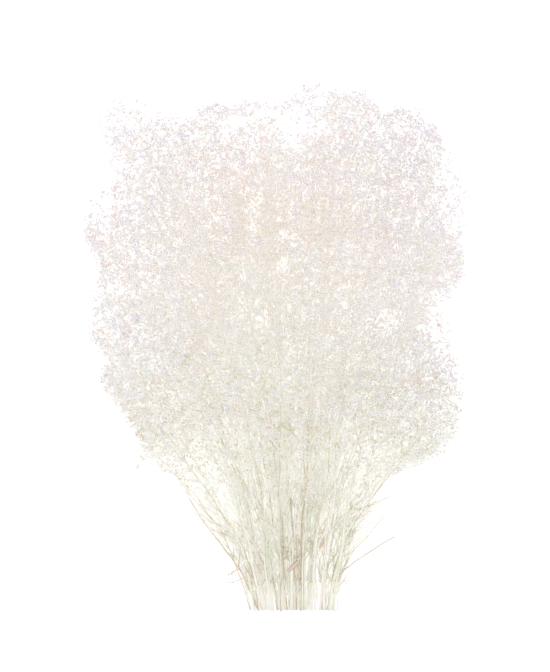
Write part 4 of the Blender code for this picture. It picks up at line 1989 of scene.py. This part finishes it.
@dataclass(frozen=True, kw_only=True)
class DriedPetals(Finish):
    """Papery gypsophila petals, dried in air on the stem."""

    # Petals that dry in air shrink to a crinkled, matt paper that lets light through. The eye takes
    # the bunch for a soft cloud with no gloss: cream, tanned or olive in clumps, greener at each
    # calyx, whiter at the petal tips, and lilac round the rim where the blooms stand thinly.
    bands: Stops = ((0.0, "#FEFFFB"), (0.45, "#FCFEFF"), (0.9, "#FAF5F4"))
    rim: Stops = ((0.0, "#FCFEFF"), (0.4, "#E9E7F3"))
    calyx: Stops = ((0.0, "#F1F1E6"), (0.45, "#FFFFFF"))
    tints: Stops = (
        (0.0, "#E9E7E0"), (0.12, "#FCF8F4"), (0.35, "#FFFAF9"), (0.55, "#FBFCF4"),
        (0.75, "#FAF9FD"), (1.0, "#FFFFFF"),
    )
    patches: Stops = (
        (0.36, "#FAEAE4"), (0.43, "#FFFAF8"), (0.49, "#F4F9E8"), (0.55, "#FFFFFF"),
        (0.64, "#F3EFFB"),
    )
    clumps: Stops = ((0.38, "#D9D7C4"), (0.52, "#FFFFFF"))
    length: Pair = (-0.16, 0.24)
    clump_reach: Pair = (0.07, -0.08)
    rim_centre_y: float = -0.24
    rim_scale: Triple = (4.1, 3.6, 0.0)
    rim_reach: Pair = (0.60, 1.25)
    drift: float = 0.5
    rim_drift: float = 0.4
    # A spray dries to one tint. Sprays are 30 to 40 mm across, their side sprays about 16 mm and
    # their clumps of blooms about 9 mm. Depth is left out of them, so that they show from above.
    spray_mm: float = 35.0
    side_spray_mm: float = 16.0
    clump_mm: float = 9.0
    flattened: Triple = (1.0, 1.0, 0.125)
    # Crinkles of a dried petal are 0.1 to 0.2 mm apart. They are drawn at 0.4 mm, to show at all.
    crinkle_mm: float = 0.4
    relief_mm: float = 0.04
    strong: float = 0.9
    calyx_strength: float = 0.85
    through: float = 1.0
    roughness: float = 0.85
    # Painted glow: the petals give off a little light of their own, which lifts the shade deep in
    # the cloud.
    glow: float = 0.222

    def make(self) -> bpy.types.Material:
        """Build the material.

        Returns:
            The finished material.
        """
        surface = Surface("dried gypsophila petals")
        add, place = surface.add, surface.place
        y = add("SeparateXYZ", {0: place}, "Y")
        low, high = self.length
        along = add("MapRange", {"Value": y, "From Min": low, "From Max": high})
        sprays = add("TexNoise", {"Vector": place, "Scale": METRE_MM / self.spray_mm})
        drift = add("Math", {0: sprays, 1: self.drift, 2: -self.drift / 2}, **MULTIPLY_ADD)
        moved = add("Math", {0: along, 1: drift}, operation="ADD")
        body = add("ValToRGB", {0: moved}, stops=self.bands)

        middle = (0.0, self.rim_centre_y, 0.0)
        oval = add("Mapping", {"Vector": place, "Location": middle, "Scale": self.rim_scale})
        away = add("VectorMath", {0: oval}, "Value", operation="LENGTH")
        ragged = add("Math", {0: sprays, 1: self.rim_drift, 2: away}, **MULTIPLY_ADD)
        near, far = self.rim_reach
        rim = add("MapRange", {"Value": ragged, "From Min": near, "From Max": far})
        lilac = add("ValToRGB", {0: along}, stops=self.rim)
        body = add("Mix", {0: rim, 6: body, 7: lilac}, 2, data_type="RGBA")

        flat = add("Mapping", {"Vector": place, "Scale": self.flattened})
        side_sprays = add("TexNoise", {"Vector": flat, "Scale": METRE_MM / self.side_spray_mm})
        clumps = add("TexNoise", {"Vector": flat, "Scale": METRE_MM / self.clump_mm})
        start, end = self.clump_reach
        low = add("MapRange", {"Value": y, "From Min": start, "From Max": end})
        olive = add("ValToRGB", {0: clumps}, stops=self.clumps)
        shade = add("Attribute", {}, "Fac", attribute_name="shade")
        heart = add("Attribute", {}, "Fac", attribute_name="heart")
        for strength, layer in (
            (self.strong, add("ValToRGB", {0: side_sprays}, stops=self.patches)),
            (self.strong, add("Mix", {0: low, 6: WHITE, 7: olive}, 2, data_type="RGBA")),
            (self.strong, add("ValToRGB", {0: shade}, stops=self.tints)),
            (self.calyx_strength, add("ValToRGB", {0: heart}, stops=self.calyx)),
        ):
            body = add("Mix", {0: strength, 6: body, 7: layer}, 2, **MULTIPLY)

        crinkles = add("TexNoise", {"Vector": place, "Scale": METRE_MM / self.crinkle_mm})
        return self.finished(surface, body, crinkles)


@dataclass(frozen=True, kw_only=True)
class DriedStalk(Finish):
    """Woody gypsophila stalk, dried in air: its name, and its colours from dark fibres to light."""

    # A stalk that dries in air turns woody and matt. The eye sees fine fibres along it, straw,
    # green or brown by how it dried, and pale hair-thin ends up in the cloud; the brown in the
    # middle of the neck is partly painted shade.
    name: str
    fibres: Stops
    # Painted glow: the stalk gives off a little light, which lifts the shade among the stacked
    # stems of the neck.
    glow: float = 0.17
    aloft: Stops = ((0.3, "#EEE3D8"), (0.6, "#FAF6F1"))
    turning: Pair = (-0.11, 0.05)
    # Fibres of such a stalk are 0.05 to 0.1 mm wide. They are drawn 0.7 mm wide and 15 mm long, to
    # show at all. Stains run over 30 mm of it.
    fibre_mm: float = 0.7
    fibre_detail: float = 3.0
    relief_mm: float = 0.2
    fibre_length: Triple = (1.0, 1.0 / 22.0, 1.0)
    fibre_share: float = 0.6
    stain_mm: float = 30.0
    stain_share: float = 0.7
    darker: float = -0.2
    through: float = 0.4
    through_colour: Triple = (1.0, 0.9, 0.7)
    through_reach: float = 0.001
    roughness: float = 0.7

    def make(self) -> bpy.types.Material:
        """Build the material.

        Returns:
            The finished material.
        """
        surface = Surface(self.name)
        add, place = surface.add, surface.place
        stretched = add("Mapping", {"Vector": place, "Scale": self.fibre_length})
        scale = METRE_MM / self.fibre_mm
        fibres = add("TexNoise", {"Vector": stretched, "Scale": scale, "Detail": self.fibre_detail})
        stains = add("TexNoise", {"Vector": place, "Scale": METRE_MM / self.stain_mm})
        stained = add("Math", {0: stains, 1: self.stain_share, 2: self.darker}, **MULTIPLY_ADD)
        both = add("Math", {0: fibres, 1: self.fibre_share, 2: stained}, **MULTIPLY_ADD)
        body = add("ValToRGB", {0: both}, stops=self.fibres)
        low, high = self.turning
        y = add("SeparateXYZ", {0: place}, "Y")
        height = add("MapRange", {"Value": y, "From Min": low, "From Max": high})
        pale = add("ValToRGB", {0: fibres}, stops=self.aloft)
        body = add("Mix", {0: height, 6: body, 7: pale}, 2, data_type="RGBA")
        return self.finished(surface, body, fibres)


@dataclass(frozen=True, kw_only=True)
class DriedLeaf(Finish):
    """Lance leaf of gypsophila, dried in air and curled."""

    # A leaf that dries in air turns thin and matt. The eye sees it pale green at its root, browned
    # towards its tip, and pink where it is broad and fresh, with fine veins along it.
    length: Stops = ((0.1, "#E8EDD4"), (1.0, "#E4DAC0"))
    pink: str = "#EBD2C6"
    pink_shades: Pair = (0.7, 1.0)
    # Veins are 0.2 to 0.3 mm apart. They are drawn at 0.8 mm, to show at all.
    vein_mm: float = 0.8
    relief_mm: float = 0.2
    vein_length: Triple = (1.0, 0.1, 1.0)
    vein_tints: Stops = ((0.3, "#C8BE9E"), (0.7, "#FFFFFF"))
    vein_strength: float = 0.25
    roughness: float = 0.75
    # Painted glow: the leaf gives off a little light, which lifts its shade among the stalks.
    glow: float = 0.12

    def make(self) -> bpy.types.Material:
        """Build the material.

        Returns:
            The finished material.
        """
        surface = Surface("dried lance leaf")
        add = surface.add
        heart = add("Attribute", {}, "Fac", attribute_name="heart")
        shade = add("Attribute", {}, "Fac", attribute_name="shade")
        body = add("ValToRGB", {0: heart}, stops=self.length)
        low, high = self.pink_shades
        fresh = add("MapRange", {"Value": shade, "From Min": low, "From Max": high})
        body = add("Mix", {0: fresh, 6: body, 7: linear(self.pink)}, 2, data_type="RGBA")
        along = add("Mapping", {"Vector": surface.place, "Scale": self.vein_length})
        veins = add("TexNoise", {"Vector": along, "Scale": METRE_MM / self.vein_mm})
        tints = add("ValToRGB", {0: veins}, stops=self.vein_tints)
        body = add("Mix", {0: self.vein_strength, 6: body, 7: tints}, 2, **MULTIPLY)
        return self.finished(surface, body, veins)


@dataclass(frozen=True, kw_only=True)
class UncoatedPaper(Finish):
    """White uncoated paper, pressed from pulp, under the bunch."""

    # Uncoated paper scatters light evenly, so the eye sees one soft white with no reflection. It is
    # lit past white from inside, as in a cut-out. Its pulp shows in clouds of 50 mm, and its grain
    # of 0.1 mm is drawn at 0.5 mm, to show at all.
    tones: Stops = ((0.0, "#FBFBFA"), (1.0, "#FDFDFD"))
    cloud_mm: float = 50.0
    grain_mm: float = 0.5
    relief_mm: float = 0.02
    roughness: float = 0.9
    glow: float = 0.38

    def make(self) -> bpy.types.Material:
        """Build the material.

        Returns:
            The finished material.
        """
        surface = Surface("white uncoated paper")
        clouds, grain = (
            surface.add("TexNoise", {"Vector": surface.place, "Scale": METRE_MM / size})
            for size in (self.cloud_mm, self.grain_mm)
        )
        tones = surface.add("ValToRGB", {0: clouds}, stops=self.tones)
        return self.finished(surface, tones, grain, WHITE)


@dataclass
class Finishes:
    """The materials of the bunch, made once."""

    petals: bpy.types.Material = field(default_factory=DriedPetals().make)
    leaf: bpy.types.Material = field(default_factory=DriedLeaf().make)

    def __post_init__(self) -> None:
        """Make the finish of each tone of stalk."""
        straw, green = ((0.2, "#F0E7E0"), (0.6, "#FBF7F4")), ((0.2, "#E3E5D4"), (0.6, "#F7F7F0"))
        brown = ((0.2, "#BDA98F"), (0.6, "#E6DBCC"))
        finishes = {
            Tone.STRAW: DriedStalk(name="dried straw stalk", fibres=straw),
            Tone.GREEN: DriedStalk(name="dried green stalk", fibres=green),
            # Brown stalks stand partly for painted shade in the middle of the neck, and get a
            # weaker painted glow.
            Tone.BROWN: DriedStalk(name="dried brown stalk", fibres=brown, glow=0.10),
        }
        self.stalks = tuple(finishes[tone].make() for tone in Tone)


@dataclass
class Dresser:
    """Turns the fine growth of each stem into its two finished pieces."""

    finishes: Finishes = field(default_factory=Finishes)
    shapes: Shapes = field(default_factory=Shapes)
    thin_radius: float = 0.00070
    weld: float = 0.00001

    def __post_init__(self) -> None:
        """Model each small shape once."""
        shapes = self.shapes
        self.blooms = shapes.blooms()
        self.pedicel, self.twig = shapes.thin_stalk(0.0), shapes.thin_stalk(shapes.twig_tip)
        self.leaves = [shapes.leaf(curl) for curl in shapes.leaf_curls]

    def curves(self, name: str, lines: list[Line], resolution: int) -> bpy.types.Object:
        """Draw smooth stalks as bevelled curves and make them a mesh.

        Args:
            name: Name of the object.
            lines: The stalks.
            resolution: Resolution of their round section: 0 gives four sides and 1 gives six.

        Returns:
            The object, with its caps welded.
        """
        curve = bpy.data.curves.new(name, "CURVE")
        curve.dimensions = "3D"
        curve.bevel_depth = 1.0
        curve.bevel_resolution = resolution
        curve.use_fill_caps = True
        # A spline keeps its material only if the curve already has it.
        for material in self.finishes.stalks:
            curve.materials.append(material)
        for line in lines:
            spline = curve.splines.new("POLY")
            spline.points.add(len(line.points) - 1)
            spline.material_index = line.tone.value
            spline.use_smooth = True
            for point, place, radius in zip(spline.points, line.points, line.radii):
                point.co = (*place, 1.0)
                point.radius = radius
        obj = placed(name, curve)
        deselect_all()
        obj.select_set(True)
        bpy.context.view_layer.objects.active = obj
        bpy.ops.object.convert(target="MESH")
        bpy.ops.object.mode_set(mode="EDIT")
        bpy.ops.mesh.select_all(action="SELECT")
        bpy.ops.mesh.remove_doubles(threshold=self.weld)
        bpy.ops.object.mode_set(mode="OBJECT")
        return obj

    def stalk_piece(self, stem: FineStem) -> bpy.types.Object:
        """Build all stalks and leaves of a stem.

        Args:
            stem: The fine growth of the stem.

        Returns:
            The finished piece.
        """
        thick = [line for line in stem.lines if line.radii[0] > self.thin_radius]
        slim = [line for line in stem.lines if line.radii[0] <= self.thin_radius]
        obj = self.curves(f"stalks_of_stem_{stem.base.number:02d}", thick, 1)
        obj.data.materials.append(self.finishes.leaf)
        twigs = self.curves("twigs", slim, 0)
        batches = [(self.pedicel, stem.forks + stem.pedicels, Tone.STRAW.value)]
        batches += [(self.twig, copies, tone.value) for tone, copies in stem.twigs.items()]
        for k, shape in enumerate(self.leaves):
            batches.append((shape, stem.leaves[k :: len(self.leaves)], len(Tone)))
        mesh = mesh_of("thin stalks", batches)
        for material in (*self.finishes.stalks, self.finishes.leaf):
            mesh.materials.append(material)
        join(obj, twigs, placed("thin stalks", mesh))
        return obj

    def bloom_piece(self, stem: FineStem) -> bpy.types.Object:
        """Build all blooms of a stem.

        Args:
            stem: The fine growth of the stem.

        Returns:
            The finished piece.
        """
        name = f"blooms_of_stem_{stem.base.number:02d}"
        mesh = mesh_of(name, [(self.blooms[kind], stem.blooms[kind], 0) for kind in Kind])
        mesh.materials.append(self.finishes.petals)
        return placed(name, mesh)

    def dress(self, stem: FineStem) -> None:
        """Build both pieces of a stem and let them stand for its solid.

        Args:
            stem: The fine growth of the stem.
        """
        node = f"flowering_stem_{stem.base.number:02d}"
        for piece in (self.stalk_piece(stem), self.bloom_piece(stem)):
            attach(piece, "root")
            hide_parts(node)
            LOG.info("%s: %d triangles", piece.name, len(piece.data.loop_triangles))


@dataclass
class Studio:
    """Pale floor, soft light from all round and a camera that looks straight down."""

    floor_size: float = 40.0
    floor_drop: float = 0.0005
    lens: float = 202.0
    sensor: float = 36.0
    farthest: float = 100.0
    surround: float = 0.81
    overhead: float = 0.10
    overhead_spread: float = 20.0
    overhead_tilt: Triple = (4.0, 6.0, 0.0)

    def lay_floor(self) -> None:
        """Lay the pale floor."""
        deselect_all()
        place = (0.0, 0.0, -self.floor_drop)
        bpy.ops.mesh.primitive_plane_add(size=self.floor_size, location=place)
        floor = bpy.context.object
        floor.name = "floor"
        floor.data.materials.append(UncoatedPaper().make())

    def light(self) -> None:
        """Light the bunch softly from all round, and a little from overhead, near the camera."""
        world = bpy.data.worlds.new("soft studio")
        bpy.context.scene.world = world
        world.use_nodes = True
        background = world.node_tree.nodes["Background"]
        background.inputs["Color"].default_value = WHITE
        background.inputs["Strength"].default_value = self.surround
        light = bpy.data.lights.new("overhead light", "SUN")
        light.energy = self.overhead
        light.angle = math.radians(self.overhead_spread)
        lamp = placed("overhead light", light)
        lamp.rotation_euler = [math.radians(tilt) for tilt in self.overhead_tilt]

    def set_camera(self, eye: Triple) -> None:
        """Set the camera straight above the bunch.

        Args:
            eye: Its place.
        """
        camera = bpy.data.cameras.new("camera")
        camera.lens, camera.sensor_width, camera.clip_end = self.lens, self.sensor, self.farthest
        holder = placed("camera", camera)
        holder.location = eye
        bpy.context.scene.camera = holder
        bpy.context.scene.view_settings.view_transform = "Standard"


def main() -> None:
    """Grow the bunch, build its pieces and set up the studio."""
    logging.basicConfig(level=logging.INFO, format="%(message)s")
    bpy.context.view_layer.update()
    bunch = Bunch()
    stems = bunch.grow()
    dresser = Dresser()
    for stem in stems:
        dresser.dress(stem)
    studio = Studio()
    studio.lay_floor()
    studio.light()
    studio.set_camera(bunch.cloud.eye)
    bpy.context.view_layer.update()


if __name__ == "__main__":
    main()
